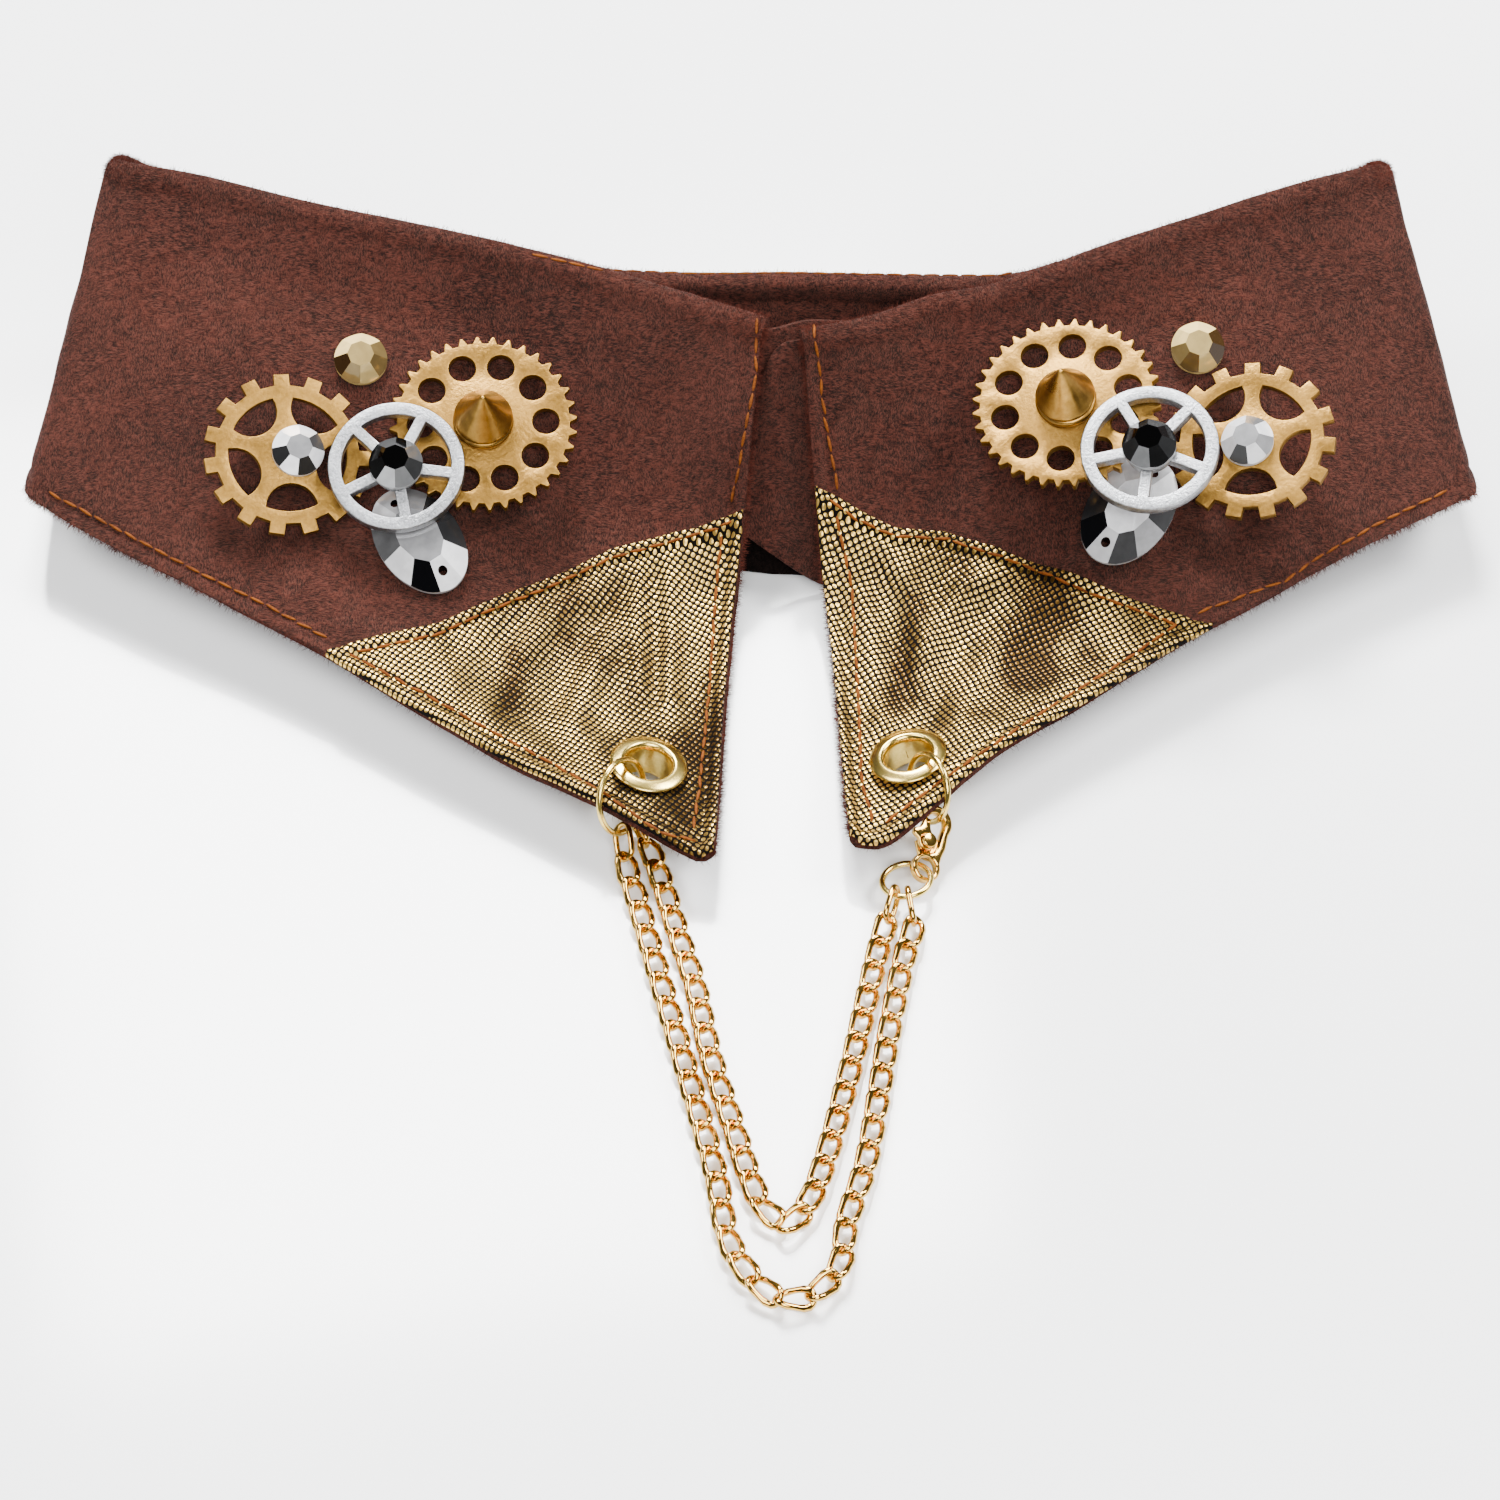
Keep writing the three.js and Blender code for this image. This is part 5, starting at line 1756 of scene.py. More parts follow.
@dataclass
class TrimCluster:
    """Gears, wheel, spike and stones of one wing.

    Attributes:
        side: "left" or "right".
        big: Seat of the big gear.
        small: Seat of the small gear.
        oval: Seat of the oval stone.
        round_top: Seat of the champagne stone.
        wheel: Seat of the wheel.
        painted_reflections: Painted reflections of each stone's table and facets.
        plate: Thickness of the gears.
        plate_edge: Rounding of their edges.
        wheel_plate: Thickness of the wheel.
        wheel_edge: Rounding of its edges.
        spokes: Number of its spokes.
        round_size: Radii and height of the champagne and black stones.
        silver_size: Radii and height of the silver stone.
        oval_size: Radii and height of the oval stone.
    """

    side: str
    big: Seat
    small: Seat
    oval: Seat
    round_top: Seat
    wheel: Seat
    painted_reflections: dict[str, tuple[float, ...]]
    plate: float = 1.6
    plate_edge: float = 0.14
    wheel_plate: float = 1.8
    wheel_edge: float = 0.22
    spokes: int = 5
    round_size: Triple = (4.05, 4.05, 3.1)
    silver_size: Triple = (3.95, 3.95, 2.9)
    oval_size: Triple = (6.3, 9.2, 3.2)

    def add(self, bm: BMesh, node: str, seat: Seat, coat: Coat, sharp: float | None = 35.0) -> None:
        """Lays a shape where its solid is and makes the piece."""
        name = f"{node}_{self.side}"
        finish_piece(bm, f"{name}_trim", coat, [name], seat_matrix(name, seat.lean, seat.turn), sharp=sharp)

    def build_big_gear(self) -> BMesh:
        """Gear with 36 pointed teeth and ten round holes."""
        holes = [ring_points(2.1, 28, polar(9.5, 90 + 36 * i)) for i in range(10)]
        return flat_plate(BIG_GEAR.outline(), holes, self.plate, self.plate_edge)

    def build_small_gear(self) -> BMesh:
        """Gear with 15 square teeth and five leaf-shaped openings.

        Returns:
            The gear.
        """
        holes = []
        for middle in (126 + 72 * i for i in range(5)):
            bulge = arc(3.94, middle + 98, middle + 262, 17, polar(8.54, middle))
            holes.append(arc(8.95, middle - 26, middle + 26, 13) + bulge[1:-1])
        return flat_plate(SMALL_GEAR.outline(), holes, self.plate, self.plate_edge)

    def build_wheel(self) -> BMesh:
        """Wheel with straight spokes.

        Returns:
            The wheel.
        """
        outer, rim, hub, half_spoke = 10.3, 8.3, 3.6, 0.85
        rim_edge, hub_edge = (math.degrees(math.asin(half_spoke / radius)) for radius in (rim, hub))
        windows = []
        for i in range(self.spokes):
            first, second = 360 / self.spokes * i, 360 / self.spokes * (i + 1)
            inner = arc(hub, second - hub_edge, first + hub_edge, 6)
            windows.append(arc(rim, first + rim_edge, second - rim_edge, 14) + inner)
        return flat_plate(ring_points(outer, 72), windows, self.wheel_plate, self.wheel_edge, steps=3)

    def build(self, finishes: Finishes) -> None:
        """Makes every trim of the wing.

        Args:
            finishes: The finishes.
        """
        self.add(self.build_big_gear(), "big_gear", self.big, finishes.brass)
        self.add(self.build_small_gear(), "small_gear", self.small, finishes.brass)
        self.add(self.build_wheel(), "spoked_wheel", self.wheel, finishes.silver)
        self.add(turned(SPIKE_PROFILE, 64), "cone_spike", self.big, finishes.bright_brass, 50.0)
        rounds = (
            ("champagne_stone", self.round_top, self.round_size, finishes.champagne),
            ("black_stone", self.wheel, self.round_size, finishes.black_stone),
            ("silver_stone", self.small, self.silver_size, finishes.silver_stone),
        )
        for node, seat, size, coat in rounds:
            stone = cut_stone(size, table=0.5, girdle=0.6, painted_reflections=self.painted_reflections[node], start=22.5)
            self.add(stone, node, Seat(seat.lean), coat, None)
        oval = cut_stone(self.oval_size, table=0.52, girdle=0.6, painted_reflections=self.painted_reflections["oval_stone"], start=18.0)
        drilled = bored(oval, places=[(0, 6.5), (0, -6.5)], radius=0.72, depth=12)
        self.add(drilled, "oval_stone", self.oval, finishes.silver_stone, None)


@dataclass
class Eyelet:
    """Eyelet with a domed flange above and a washer below.

    Attributes:
        side: "left" or "right".
        lean: X and Y of its axis.
        dome_top: Height of its solid's top over the flange's underside.
    """

    side: str
    lean: Pair
    dome_top: float = 1.0

    def frame(self) -> Matrix:
        """Frame of its axis, from millimetres to metres, with the flange's underside at 0."""
        return seat_matrix(f"eyelet_{self.side}", self.lean, 0.0, self.dome_top)

    def build(self, finishes: Finishes) -> None:
        """Makes the eyelet.

        Args:
            finishes: The finishes.
        """
        inverse = self.frame().inverted()
        low = min((inverse @ vert.co).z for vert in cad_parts[f"eyelet_{self.side}"].data.vertices)
        LOG.info("eyelet %s: underside %.2f mm below its flange", self.side, -low)
        washer = [(radius, low + height) for radius, height in WASHER_PROFILE]
        bm = turned([*washer, *FLANGE_PROFILE], 72)
        node = f"eyelet_{self.side}"
        finish_piece(bm, f"{node}_trim", finishes.pale_gold, [node], self.frame(), sharp=60)


@dataclass
class Ring:
    """Round wire ring, in millimetres.

    Attributes:
        name: The solid that it replaces.
        centre: Its middle.
        across: The way to its outer side.
        below: The way to its lowest side.
        radius: From its middle to the wire's middle.
        wire: Radius of its wire.
    """

    name: str
    centre: Vector
    across: Vector
    below: Vector
    radius: float
    wire: float = 0.47

    @classmethod
    def threaded(cls, name: str, inner: Triple, outer: Triple, down: Triple, drop: float) -> "Ring":
        """Ring through a bore at one point and outside a hem at another.

        Args:
            name: The solid that it replaces.
            inner: Its wire's middle in the bore.
            outer: Its wire's middle outside the hem.
            down: About the way that it hangs.
            drop: How far its middle hangs below the two points.

        Returns:
            The ring.
        """
        across = Vector(outer) - Vector(inner)
        half = across.length / 2
        across.normalize()
        below = Vector(down)
        below = (below - across * below.dot(across)).normalized()
        centre = (Vector(inner) + Vector(outer)) / 2 + below * drop
        return cls(name, centre, across, below, math.hypot(half, drop))

    def at(self, degrees: float) -> tuple[Vector, Vector]:
        """Point at an angle from the lowest side toward the outer one, and the wire's way there."""
        x, y = polar(1, degrees)
        return self.centre + (self.below * x + self.across * y) * self.radius, self.across * x - self.below * y

    def build(self, coat: Coat) -> None:
        """Makes the ring.

        Args:
            coat: Its finish.
        """
        bm = wire_ring(self.radius, self.wire, 14, 56)
        normal = self.across.cross(self.below)
        basis = Matrix((self.below, normal.cross(self.below), normal)).transposed().to_4x4()
        place = PLACE @ Matrix.Translation(self.centre) @ basis
        finish_piece(bm, f"{self.name}_wire", coat, [self.name], place, sharp=180)


@dataclass
class LinkForm:
    """Size of a chain link, in millimetres and degrees.

    Attributes:
        half_length: From its middle to the wire's middle at an end.
        half_width: From its middle to the wire's middle at a side.
        twist: Turn of each end against the middle.
        wire: Radius of its wire.
        end_depth: Depth of its round ends as a share of a half circle's.
        bend: Share of the half width over which an end passes into the sides.
    """

    half_length: float
    half_width: float
    twist: float
    wire: float = 0.46
    end_depth: float = 0.9
    bend: float = 0.35

    def build(self, bm: BMesh, place: Matrix) -> None:
        """Adds one link, long along the frame's X.

        Args:
            bm: The chain's bmesh.
            place: The link's frame.
        """
        fresh = wire_ring(self.half_width, self.wire, 8, 18)
        straight = self.half_length - self.half_width * self.end_depth
        for vert in fresh.verts:
            share = max(-1.0, min(1.0, vert.co.x / (self.half_width * self.bend)))
            vert.co.x = vert.co.x * self.end_depth + straight * share
            turn = math.radians(self.twist * max(-1.0, min(1.0, vert.co.x / self.half_length)))
            y, z = vert.co.y, vert.co.z
            vert.co.y = y * math.cos(turn) - z * math.sin(turn)
            vert.co.z = y * math.sin(turn) + z * math.cos(turn)
        bmesh.ops.transform(fresh, matrix=place, verts=fresh.verts)
        join(bm, fresh)


def link_frame(centre: Vector, along: Vector, up: Vector) -> Matrix:
    """Frame with X along a link and Z as near as possible to a given way up."""
    side = up.cross(along).normalized()
    return Matrix.Translation(centre) @ Matrix((along, side, along.cross(side))).transposed().to_4x4()


@dataclass
class ChainStrand:
    """Curb chain from one ring to another along points on the table.

    Attributes:
        name: The solid that it replaces.
        path: Points in the drawing frame.
        pitch: Distance from link to link.
        reach: Distance of an end link's middle from the ring's wire.
        roll: Most that a link rolls to a side, in degrees.
        link: Form of a link.
        end_link: Form of the links on the rings.
    """

    name: str
    path: tuple[Triple, ...]
    pitch: float = 4.36
    reach: float = 1.5
    roll: float = 6.0
    link: LinkForm = field(default_factory=lambda: LinkForm(2.62, 1.36, 40.0, 0.53))
    end_link: LinkForm = field(default_factory=lambda: LinkForm(2.75, 1.5, 0.0))

    def curve(self, points: Sequence[Vector], steps: int = 40) -> list[Vector]:
        """Dense points of a smooth curve through the given ones.

        Args:
            points: The given points.
            steps: Points from one to the next.

        Returns:
            The dense points.
        """
        padded = [points[0] * 2 - points[1], *points, points[-1] * 2 - points[-2]]
        dense = []
        for a, b, c, d in zip(padded, padded[1:], padded[2:], padded[3:]):
            gaps = [max((q - p).length ** 0.5, 1e-4) for p, q in ((a, b), (b, c), (c, d))]
            start = ((b - a) / gaps[0] - (c - a) / (gaps[0] + gaps[1]) + (c - b) / gaps[1]) * gaps[1]
            end = ((c - b) / gaps[1] - (d - b) / (gaps[1] + gaps[2]) + (d - c) / gaps[2]) * gaps[1]
            square, cube = 3 * (c - b) - 2 * start - end, 2 * (b - c) + start + end
            for u in (i / steps for i in range(steps)):
                dense.append(b + start * u + square * u**2 + cube * u**3)
        dense.append(points[-1].copy())
        return dense

    def build(self, start: tuple[Vector, Vector], end: tuple[Vector, Vector], coat: Coat) -> None:
        """Makes the strand between two ring points and their wires' ways.

        Args:
            start: Where it hangs from its first ring.
            end: Where it hangs from its last ring.
            coat: Its finish.
        """
        points = [Vector(p) for p in self.path]
        leave = (points[0] - start[0]).normalized()
        arrive = (end[0] - points[-1]).normalized()
        first, last = start[0] + leave * self.reach, end[0] - arrive * self.reach
        dense = self.curve([first, *points, last])
        steps = [(b - a).length for a, b in zip(dense, dense[1:])]
        count = round(sum(steps) / self.pitch)
        spacing = sum(steps) / count
        bm = bmesh.new()
        dice = random.Random(SEED)
        travelled, number = 0.0, 1
        for a, b, step in zip(dense, dense[1:], steps):
            while number < count and number * spacing <= travelled + step:
                centre = a.lerp(b, (number * spacing - travelled) / step)
                along = (b - a).normalized()
                up = Matrix.Rotation(math.radians(dice.uniform(-self.roll, self.roll)), 3, along) @ Vector((0, 0, 1))
                self.link.build(bm, PLACE @ link_frame(centre, along, up))
                number += 1
            travelled += step
        for centre, along, up in ((first, leave, start[1]), (last, arrive, end[1])):
            self.end_link.build(bm, PLACE @ link_frame(centre, along, up))
        finish_piece(bm, f"{self.name}_links", coat, [self.name], sharp=180)


@dataclass
class Clasp:
    """Lobster clasp: its body with the hook, and its sprung lever.

    Attributes:
        eye: Middle of its eye in the drawing frame.
        held: Middle of the wire that lies in its hook.
        normal: The way that its flat side faces.
        pin: Place of the lever's pin in its own frame.
        underside: Height of its underside in its own frame.
    """

    eye: Vector
    held: Vector
    normal: Vector
    pin: Pair = (3.7, 0.9)
    underside: float = -0.8

    def place(self) -> Matrix:
        """Its frame, from millimetres to metres."""
        return PLACE @ link_frame(self.eye, (self.held - self.eye).normalized(), self.normal)

    def build_body(self, coat: Coat) -> None:
        """Makes the hook, shank, eye and rivet.

        Args:
            coat: Its finish.
        """
        middle = (7.05, 0.0)
        hook = arc(2.7, -118, 68, 26, middle) + arc(1.4, 68, -100, 20, middle)
        outline = [*hook, *SHANK_INNER, *arc(2.25, 10, 300, 40), *SHANK_OUTER]
        bm = flat_plate(outline, [ring_points(1.5, 24)], 1.6, 0.42, self.underside, 4)
        for radius, low, high in RIVET:
            fresh = bmesh.ops.create_cone(
                bm, cap_ends=True, segments=24, radius1=radius, radius2=radius * 0.92, depth=high - low,
                matrix=Matrix.Translation((*self.pin, (low + high) / 2)),
            )
            rims = [e for e in bm.edges if set(e.verts) <= set(fresh["verts"]) and is_level(e)]
            bmesh.ops.bevel(bm, geom=rims, offset=0.12, segments=2, profile=0.5, affect="EDGES", material=-1)
        join(bm, flat_plate(WEB_OUTLINE, [], 0.7, 0.12, self.underside))
        finish_piece(bm, "clasp_hook", coat, ["clasp_body"], self.place(), sharp=50)

    def build_lever(self, coat: Coat) -> None:
        """Makes the lever with its thumb nub."""
        bm = flat_plate(LEVER_OUTLINE, [ring_points(0.85, 24, self.pin)], 0.9, 0.22, 0.2, 3)
        finish_piece(bm, "clasp_lever_trim", coat, ["clasp_lever"], self.place(), Body.LEVER, 50)


@dataclass(frozen=True)
class Softbox:
    """A square area light.

    Attributes:
        place: Its middle, in metres.
        aim: The point that it faces, in metres.
        side: Its side, in metres.
        power: Its power, in watts.
        tint: Its colour.
    """

    place: Triple
    aim: Triple
    side: float
    power: float
    tint: Triple = (1.0, 1.0, 1.0)

    def build(self, name: str) -> None:
        """Makes the light.

        Args:
            name: The light's name.
        """
        data = bpy.data.lights.new(name, "AREA")
        data.energy, data.size, data.color = self.power, self.side, self.tint
        lamp = bpy.data.objects.new(name, data)
        lamp.location = self.place
        lamp.rotation_euler = (Vector(self.aim) - Vector(self.place)).to_track_quat("-Z", "Y").to_euler()
        bpy.context.scene.collection.objects.link(lamp)


@dataclass
class Studio:
    """The pale glossy floor, the softboxes and the room's light.

    Attributes:
        half_side: Half the floor's side, in metres.
        floor_level: Height of the floor.
        room: Strength of the room's light.
        boxes: The softboxes.
    """

    half_side: float = 3.0
    floor_level: float = -0.0005
    room: float = 0.13
    boxes: tuple[Softbox, ...] = (
        Softbox((-0.12, 0.75, 0.95), (0, 0, 0), 0.42, 50.0),
        Softbox((0.75, 0.25, 0.95), (0, 0, 0), 0.45, 24.0),
        Softbox((-0.75, 0.05, 1.0), (0, 0, 0), 0.45, 12.0),
        Softbox((0.1, -0.85, 1.0), (0, 0, 0), 0.7, 24.0),
    )

    def build(self) -> None:
        """Makes the floor and the lights."""
        bm = bmesh.new()
        bmesh.ops.create_grid(bm, x_segments=1, y_segments=1, size=self.half_side)
        bmesh.ops.translate(bm, verts=bm.verts, vec=(0, 0, self.floor_level))
        mesh = bpy.data.meshes.new("floor")
        bm.to_mesh(mesh)
        bm.free()
        floor = bpy.data.objects.new("floor", mesh)
        bpy.context.scene.collection.objects.link(floor)
        material, tree, shader = new_material("floor", {"Roughness": 0.12, "Specular IOR Level": 0.35})
        paint = tree.mix(tree.noise(tree.place(), 2.0), (0.90, 0.905, 0.91), (0.93, 0.932, 0.935))
        tree.feed(shader, "Base Color", paint)
        mesh.materials.append(material)
        world = bpy.data.worlds.new("room")
        world.use_nodes = True
        backdrop = world.node_tree.nodes["Background"]
        backdrop.inputs["Color"].default_value = (0.92, 0.95, 1.0, 1.0)
        backdrop.inputs["Strength"].default_value = self.room
        bpy.context.scene.world = world
        for i, box in enumerate(self.boxes):
            box.build(f"softbox_{i + 1}")


BIG_GEAR = Gear(teeth=36, root=13.15, tip=14.25, foot=0.3, end=0.07)
SMALL_GEAR = Gear(teeth=15, root=10.9, tip=12.65, foot=0.26, end=0.22, start=90.0)
SPIKE_PROFILE = (
    (0, 0), (4.4, 0), (4.6, 0.2), (4.6, 0.75), (4.45, 1.0), (4.2, 1.12), (4.2, 1.45), (4.4, 1.6),
    (4.5, 1.9), (4.42, 2.15), (4.25, 2.35), (2.3, 5.95), (0.55, 9.1), (0.32, 9.5), (0, 9.66),
)
WASHER_PROFILE = ((3.4, 0), (4.6, 0), (4.7, 0.12), (4.7, 0.38), (4.6, 0.5), (3.6, 0.5))
FLANGE_PROFILE = (
    (3.6, 0.0), (5.55, -0.02), (5.72, 0.06), (5.74, 0.18), (5.64, 0.32), (5.2, 0.5), (4.6, 0.7), (4.15, 0.8),
    (3.85, 0.76), (3.6, 0.52), (3.45, 0.12), (3.4, -0.3),
)
SHANK_INNER = ((5.4, -1.15), (3.6, -1.0), (2.6, -0.6), (2.3, 0.0))
SHANK_OUTER = ((2.2, -2.05), (3.6, -2.4))
RIVET = ((0.55, -0.3, 1.6), (1.15, 1.4, 1.9))
WEB_OUTLINE = ((1.4, -1.3), (5.0, -1.3), (4.9, 1.3), (3.6, 2.2), (1.4, 1.2))
LEVER_OUTLINE = (
    (2.55, 0.3), (3.0, -0.4), (3.6, -0.6), (4.2, -0.5), (4.9, 0.25), (5.6, 0.75), (6.4, 1.0),
    (7.0, 1.1), (7.25, 1.6), (7.2, 2.1), (6.0, 2.3), (5.5, 2.5), (5.25, 3.1), (4.9, 3.4),
    (4.3, 3.4), (4.0, 3.0), (3.7, 2.4), (2.9, 2.1), (2.5, 1.6), (2.4, 0.9),
)
OUTER_PATH = (
    (-17.8, 1.6, 1.7), (-16.6, -2.7, 1.5), (-12.4, -19.7, 1.45), (-8.2, -36.7, 1.45),
    (-4.6, -51.9, 1.45), (-3.1, -61.2, 1.45), (-1.2, -66.0, 1.45), (3.0, -70.9, 1.45),
    (7.4, -71.4, 1.45), (11.8, -67.0, 1.45), (13.3, -59.0, 1.45), (15.9, -50.0, 1.45),
    (17.8, -39.2, 1.45), (19.7, -27.2, 1.45), (22.2, -14.0, 1.45), (23.6, -8.4, 1.5),
)
INNER_PATH = (
    (-14.3, 4.4, 1.7), (-12.6, -1.1, 1.5), (-10.1, -10.7, 1.45), (-7.8, -19.1, 1.45),
    (-5.5, -31.4, 1.45), (-2.2, -43.8, 1.45), (0.2, -52.6, 1.45), (2.2, -57.4, 1.45),
    (5.4, -59.3, 1.45), (8.1, -55.8, 1.45), (10.2, -49.8, 1.45), (14.0, -34.1, 1.45),
    (16.5, -22.0, 1.45), (18.2, -13.8, 1.45), (19.4, -9.0, 1.5),
)
LOWER_ACROSS = Vector((0.776, 0.63, 0.0))
LOWER_BELOW = Vector((0.616, -0.759, 0.208))
LOWER_RADIUS = 3.55
CLASP_EYE = Vector((25.4, 1.4, 2.2))
CLASP_NORMAL = Vector((0.42, -0.59, 0.8))

# Painted reflections of each stone's table and crown facets, from 0 dark to 1 bright, as they fall for the scene's
# camera.
LEFT_PAINTED_REFLECTIONS = {
    "champagne_stone": (0.3, 0.12, 0.9, 1.0, 1.0, 0.01, 0.2, 0.45, 0.1),
    "silver_stone": (0.26, 0.05, 0.75, 0.95, 1.0, 0.02, 1.0, 0.02, 0.9),
    "black_stone": (0.0, 0.12, 0.0, 0.1, 0.0, 0.0, 0.9, 0.3, 0.05),
    "oval_stone": (0.24, 0.02, 0.2, 0.5, 0.7, 0.1, 0.95, 0.0, 0.95, 1.0, 0.02),
}
RIGHT_PAINTED_REFLECTIONS = {
    "champagne_stone": (0.35, 0.02, 0.9, 1.0, 0.8, 0.15, 0.05, 0.5, 0.01),
    "silver_stone": (0.3, 0.9, 0.15, 0.95, 1.0, 0.7, 0.02, 1.0, 0.3),
    "black_stone": (0.0, 0.01, 0.07, 0.01, 0.0, 0.02, 0.3, 0.01, 0.03),
    "oval_stone": (0.85, 0.05, 0.9, 0.5, 0.6, 0.9, 0.02, 0.0, 0.6, 0.05, 0.4),
}
SEAM_LEFT = (
    (4.0, 62.2), (-1.8, 62.0), (-11.3, 61.4), (-21.3, 58.8), (-30.6, 53.3), (-39.6, 47.2), (-46.9, 42.4),
    (-60.4, 36.8), (-75.0, 30.0),
)
SEAM_RIGHT = (
    (5.0, 66.0), (12.5, 63.8), (22.0, 60.3), (29.7, 59.9), (37.4, 56.7), (44.8, 52.1), (59.8, 44.8),
    (66.5, 41.5), (80.0, 35.0),
)
CLUSTERS = (
    TrimCluster(
        "left", big=Seat((0.05, -0.37), -15), small=Seat((0.2, -0.45), 6), oval=Seat((0.03, -0.39), 35),
        round_top=Seat((0.08, -0.42)), wheel=Seat((0.03, -0.38), 65), painted_reflections=LEFT_PAINTED_REFLECTIONS,
    ),
    TrimCluster(
        "right", big=Seat((-0.16, -0.28), -7), small=Seat((-0.22, -0.35), -3), oval=Seat((-0.05, -0.45), -35),
        round_top=Seat((-0.03, -0.46)), wheel=Seat((-0.14, -0.28), 45), painted_reflections=RIGHT_PAINTED_REFLECTIONS,
    ),
)
CREASES_LEFT = (
    Crease(((652, 545), (656, 610), (656, 705)), 0.9, -0.45),
    Crease(((638, 560), (638, 620), (640, 690)), 1.5, 0.75),
    Crease(((668, 555), (672, 640), (668, 700)), 1.6, 0.8),
    Crease(((590, 565), (560, 610), (520, 660)), 2.6, 1.0),
    Crease(((625, 590), (585, 650), (545, 710)), 1.8, -0.4),
    Crease(((610, 640), (590, 690), (575, 730)), 2.2, 0.7),
    Crease(((500, 610), (470, 650), (455, 680)), 2.4, 0.6),
)
CREASES_RIGHT = (
    Crease(((868, 540), (890, 620), (905, 700)), 1.7, -0.45),
    Crease(((885, 545), (915, 600), (925, 660)), 2.0, 0.9),
    Crease(((862, 600), (872, 660), (880, 720)), 1.8, 0.6),
    Crease(((1010, 560), (965, 590), (935, 640)), 2.4, 0.9),
    Crease(((980, 620), (950, 670), (930, 720)), 1.8, -0.4),
    Crease(((1040, 600), (1000, 650), (960, 720)), 2.4, 0.7),
)
STITCH_LINES = {
    "left front edge": ((757, 318), (756, 348), (756, 375), (752, 397), (745, 430), (739, 470), (730, 505)),
    "right front edge": ((813, 322), (819, 367), (822, 393), (826, 424), (832, 457), (838, 490)),
    "left hem": ((48, 492), (110, 525), (200, 573), (270, 607), (330, 640)),
    "right hem": ((1448, 490), (1383, 521), (1319, 557), (1287, 580), (1200, 612)),
    "left seam": (
        (735, 520), (711, 530), (676, 540), (611, 558), (549, 587), (488, 611), (438, 634), (345, 655),
    ),
    "right seam": (
        (829, 499), (854, 518), (894, 536), (945, 539), (996, 555), (1046, 574), (1095, 595), (1148, 614),
        (1185, 628),
    ),
    "left tip, front": ((722, 530), (716, 590), (709, 691), (699, 790), (692, 835)),
    "left tip, hem": ((345, 652), (417, 690), (482, 726), (549, 762), (602, 792), (661, 833), (692, 840)),
    "right tip, front": ((836, 515), (852, 587), (858, 694), (862, 783), (873, 822)),
    "right tip, hem": ((1180, 622), (1121, 663), (1068, 696), (1014, 731), (971, 760), (929, 790), (878, 828)),
    "back crest": ((531, 254), (600, 270), (700, 274), (790, 273), (900, 275), (1000, 276), (1048, 262)),
    "neckband end": ((769.7, 435), (767, 474), (764.6, 502), (759.5, 514), (759.5, 532), (764, 540)),
}


def edge_fuzz(cloth: CollarCloth) -> list[Fuzz]:
    """Fibres along the hem, the front edges and the fold.

    Args:
        cloth: The cloth that they stand on.

    Returns:
        The fuzz pieces.
    """
    dice = random.Random(SEED)
    last = cloth.form.last
    hem: list[tuple[Vector, Vector, float]] = []
    fold: list[tuple[Vector, Vector, float]] = []

    def stray(way: Vector, spread: float) -> Vector:
        """A way near the given one."""
        return (way + Vector((dice.gauss(0, spread), dice.gauss(0, spread), dice.gauss(0, spread)))).normalized()

    for _ in range(15000):
        k = dice.uniform(0, last)
        out = (cloth.leaf_point(k, 1.0) - cloth.leaf_point(k, 0.97)).normalized()
        root = cloth.leaf_point(k, 1.0, -dice.uniform(0.1, 1.4)) - out * 0.25 * MM
        hem.append((root, stray(out, 0.5), dice.uniform(0.6, 1.5) * MM))
    for first, inner in ((0.0, 0.12), (float(last), last - 0.12)):
        for _ in range(3800):
            t = dice.uniform(-0.2, 1)
            out = (cloth.leaf_point(first, t) - cloth.leaf_point(inner, t)).normalized()
            root = cloth.leaf_point(first, t, -dice.uniform(0.1, 1.4)) - out * 0.25 * MM
            hem.append((root, stray(out, 0.5), dice.uniform(0.5, 1.3) * MM))
    for _ in range(14000):
        k, t = dice.uniform(0, last), dice.uniform(-0.75, 0.02)
        normal = (cloth.form.normal(k, t)).normalized()
        fold.append((cloth.leaf_point(k, t, -0.05), stray(normal, 0.7), dice.uniform(0.4, 0.95) * MM))
    return [Fuzz("hem_fuzz", hem), Fuzz("fold_fuzz", fold)]


def cloth_area(piece: Object) -> float:
    """Area of one layer of a closed cloth, in square metres."""
    return sum(polygon.area for polygon in piece.data.polygons) / 2


def dress_tape(finishes: Finishes) -> None:
    """Gives the hook-and-loop tape's solid its finish.

    Args:
        finishes: The finishes.
    """
    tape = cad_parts["hook_and_loop_tape"]
    tape.data.materials.clear()
    tape.data.materials.append(finishes.tape.material)


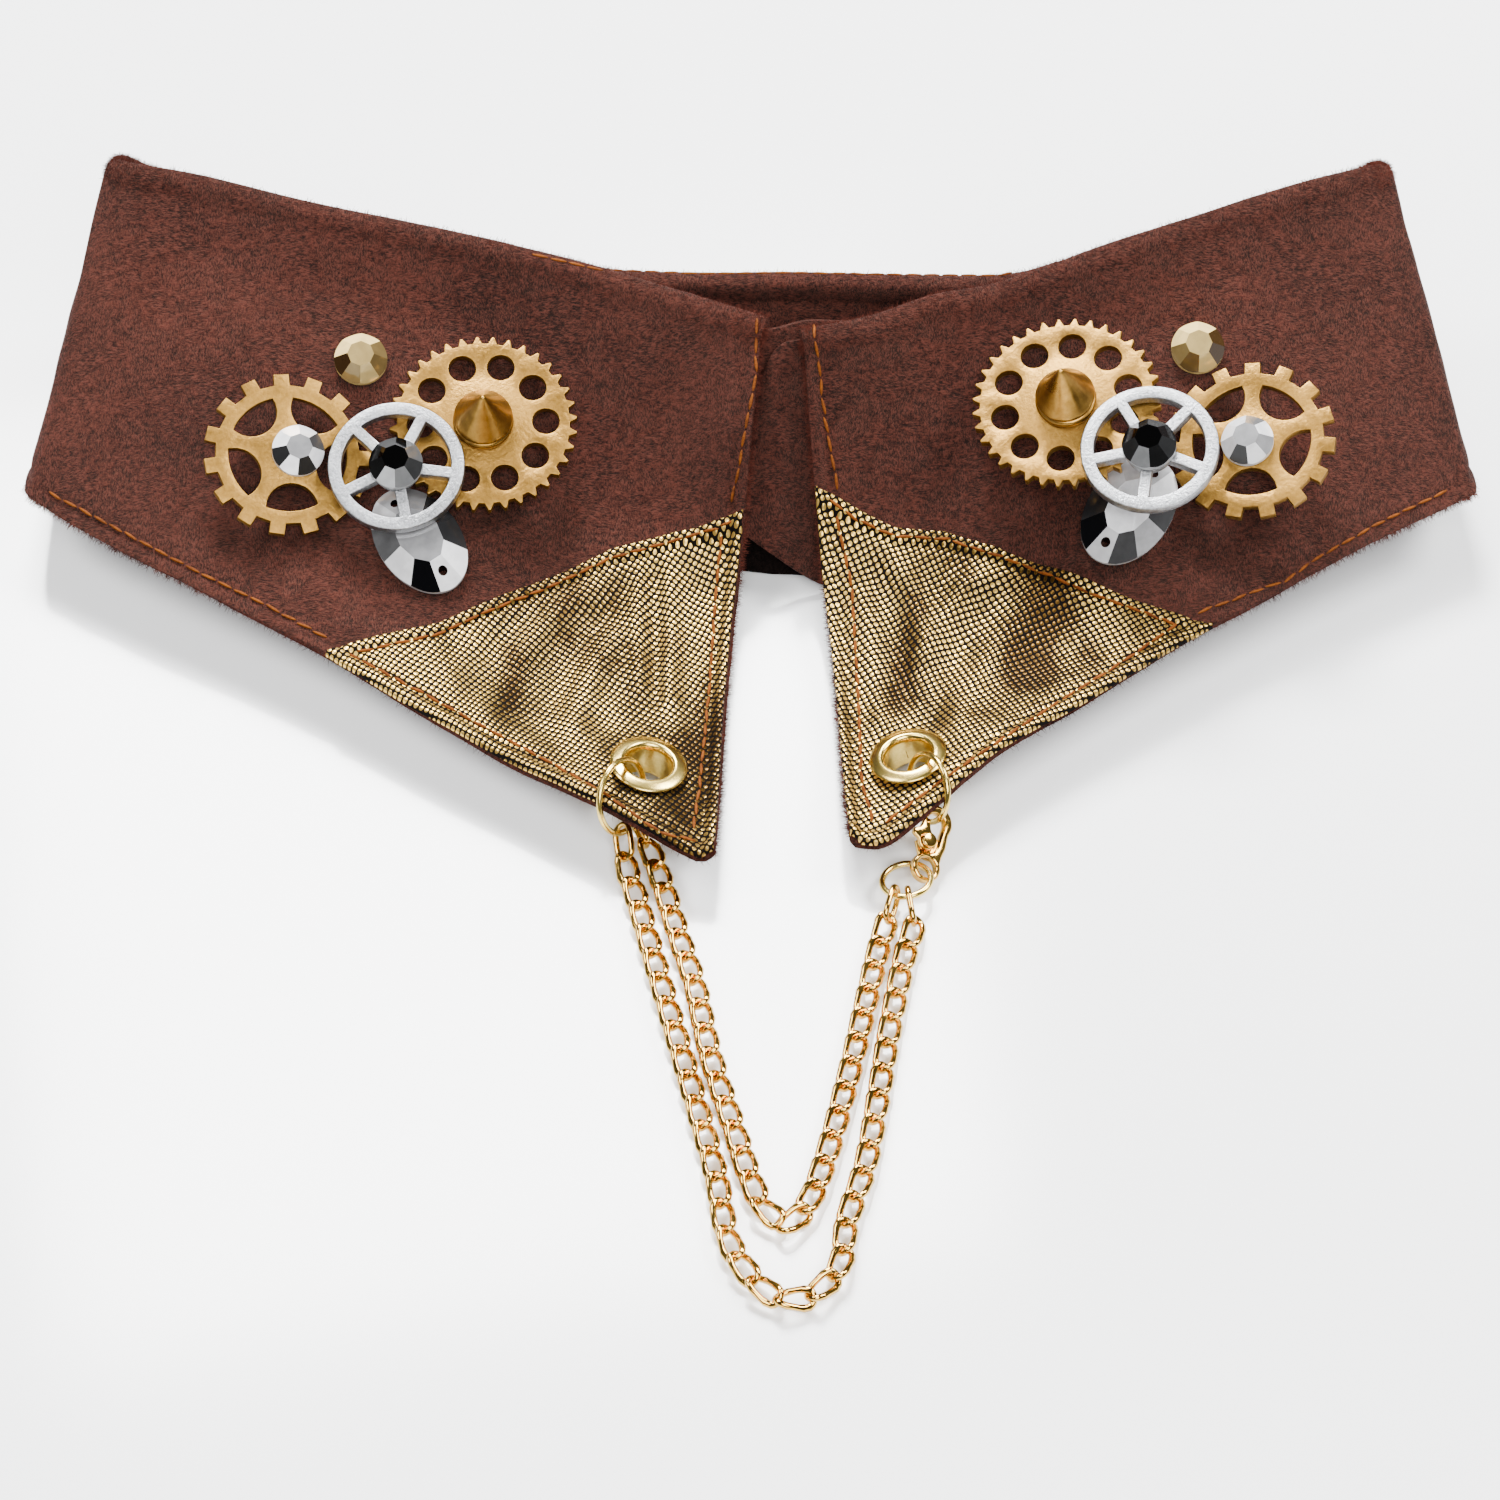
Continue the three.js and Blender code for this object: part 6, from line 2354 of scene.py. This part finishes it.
def main() -> None:
    """Builds the collar's looks, the camera and the studio."""
    logging.basicConfig(level=logging.INFO, format="%(message)s")
    camera = PhotoCamera()
    camera.build()
    Studio().build()
    finishes = Finishes()
    eyelets = {"left": Eyelet("left", lean=(0.17, 0.1)), "right": Eyelet("right", lean=(-0.2, 0.12))}
    for eyelet in eyelets.values():
        eyelet.build(finishes)
    cloth = CollarCloth(LeafForm())
    leaf = cloth.build_leaf(finishes, [eyelet.frame() for eyelet in eyelets.values()])
    band = cloth.build_band(finishes)
    dress_tape(finishes)
    tips = (
        FoilTip("left", first=0.0, far=5.0, seam=SEAM_LEFT, creases=CREASES_LEFT),
        FoilTip("right", first=float(cloth.form.last), far=28.0, seam=SEAM_RIGHT, creases=CREASES_RIGHT),
    )
    patches = [
        tip.build(cloth, camera, coat, eyelets[tip.side].frame())
        for tip, coat in zip(tips, (finishes.foil_left, finishes.foil_right))
    ]
    dice = random.Random(SEED)
    threads = bmesh.new()
    for line in STITCH_LINES.values():
        StitchRow(line).add(threads, cloth, camera, dice)
    stitching = finish_piece(threads, "top_stitching", finishes.thread, sharp=180)
    fuzz = [part.build(finishes.fibre) for part in edge_fuzz(cloth)]
    for cluster in CLUSTERS:
        cluster.build(finishes)
    left = Ring.threaded(
        "jump_ring_left", inner=(-15.9, 15.1, 7.3), outer=(-21.7, 6.3, 9.3), down=(0.2, -0.34, -0.92), drop=0.8
    )
    right = Ring.threaded(
        "jump_ring_right", inner=(23.7, 16.8, 6.8), outer=(28.6, 8.5, 9.0), down=(-0.18, -0.35, -0.92), drop=0.8
    )
    lower = Ring("jump_ring_lower", CLASP_EYE - LOWER_ACROSS * LOWER_RADIUS, LOWER_ACROSS, LOWER_BELOW, LOWER_RADIUS)
    for ring in (left, right, lower):
        ring.build(finishes.pale_gold)
    clasp = Clasp(CLASP_EYE, held=right.at(degrees=40)[0], normal=CLASP_NORMAL)
    clasp.build_body(finishes.chain_gold)
    clasp.build_lever(finishes.chain_gold)
    outer, inner = ChainStrand("chain_outer", OUTER_PATH), ChainStrand("chain_inner", INNER_PATH)
    outer.build(left.at(degrees=20), lower.at(degrees=-34), finishes.chain_gold)
    inner.build(left.at(degrees=-15), lower.at(degrees=-69), finishes.chain_gold)
    for piece in (leaf, band, *patches):
        LOG.info("%s: one layer of %.5f square metres", piece.name, cloth_area(piece))


if __name__ == "__main__":
    main()
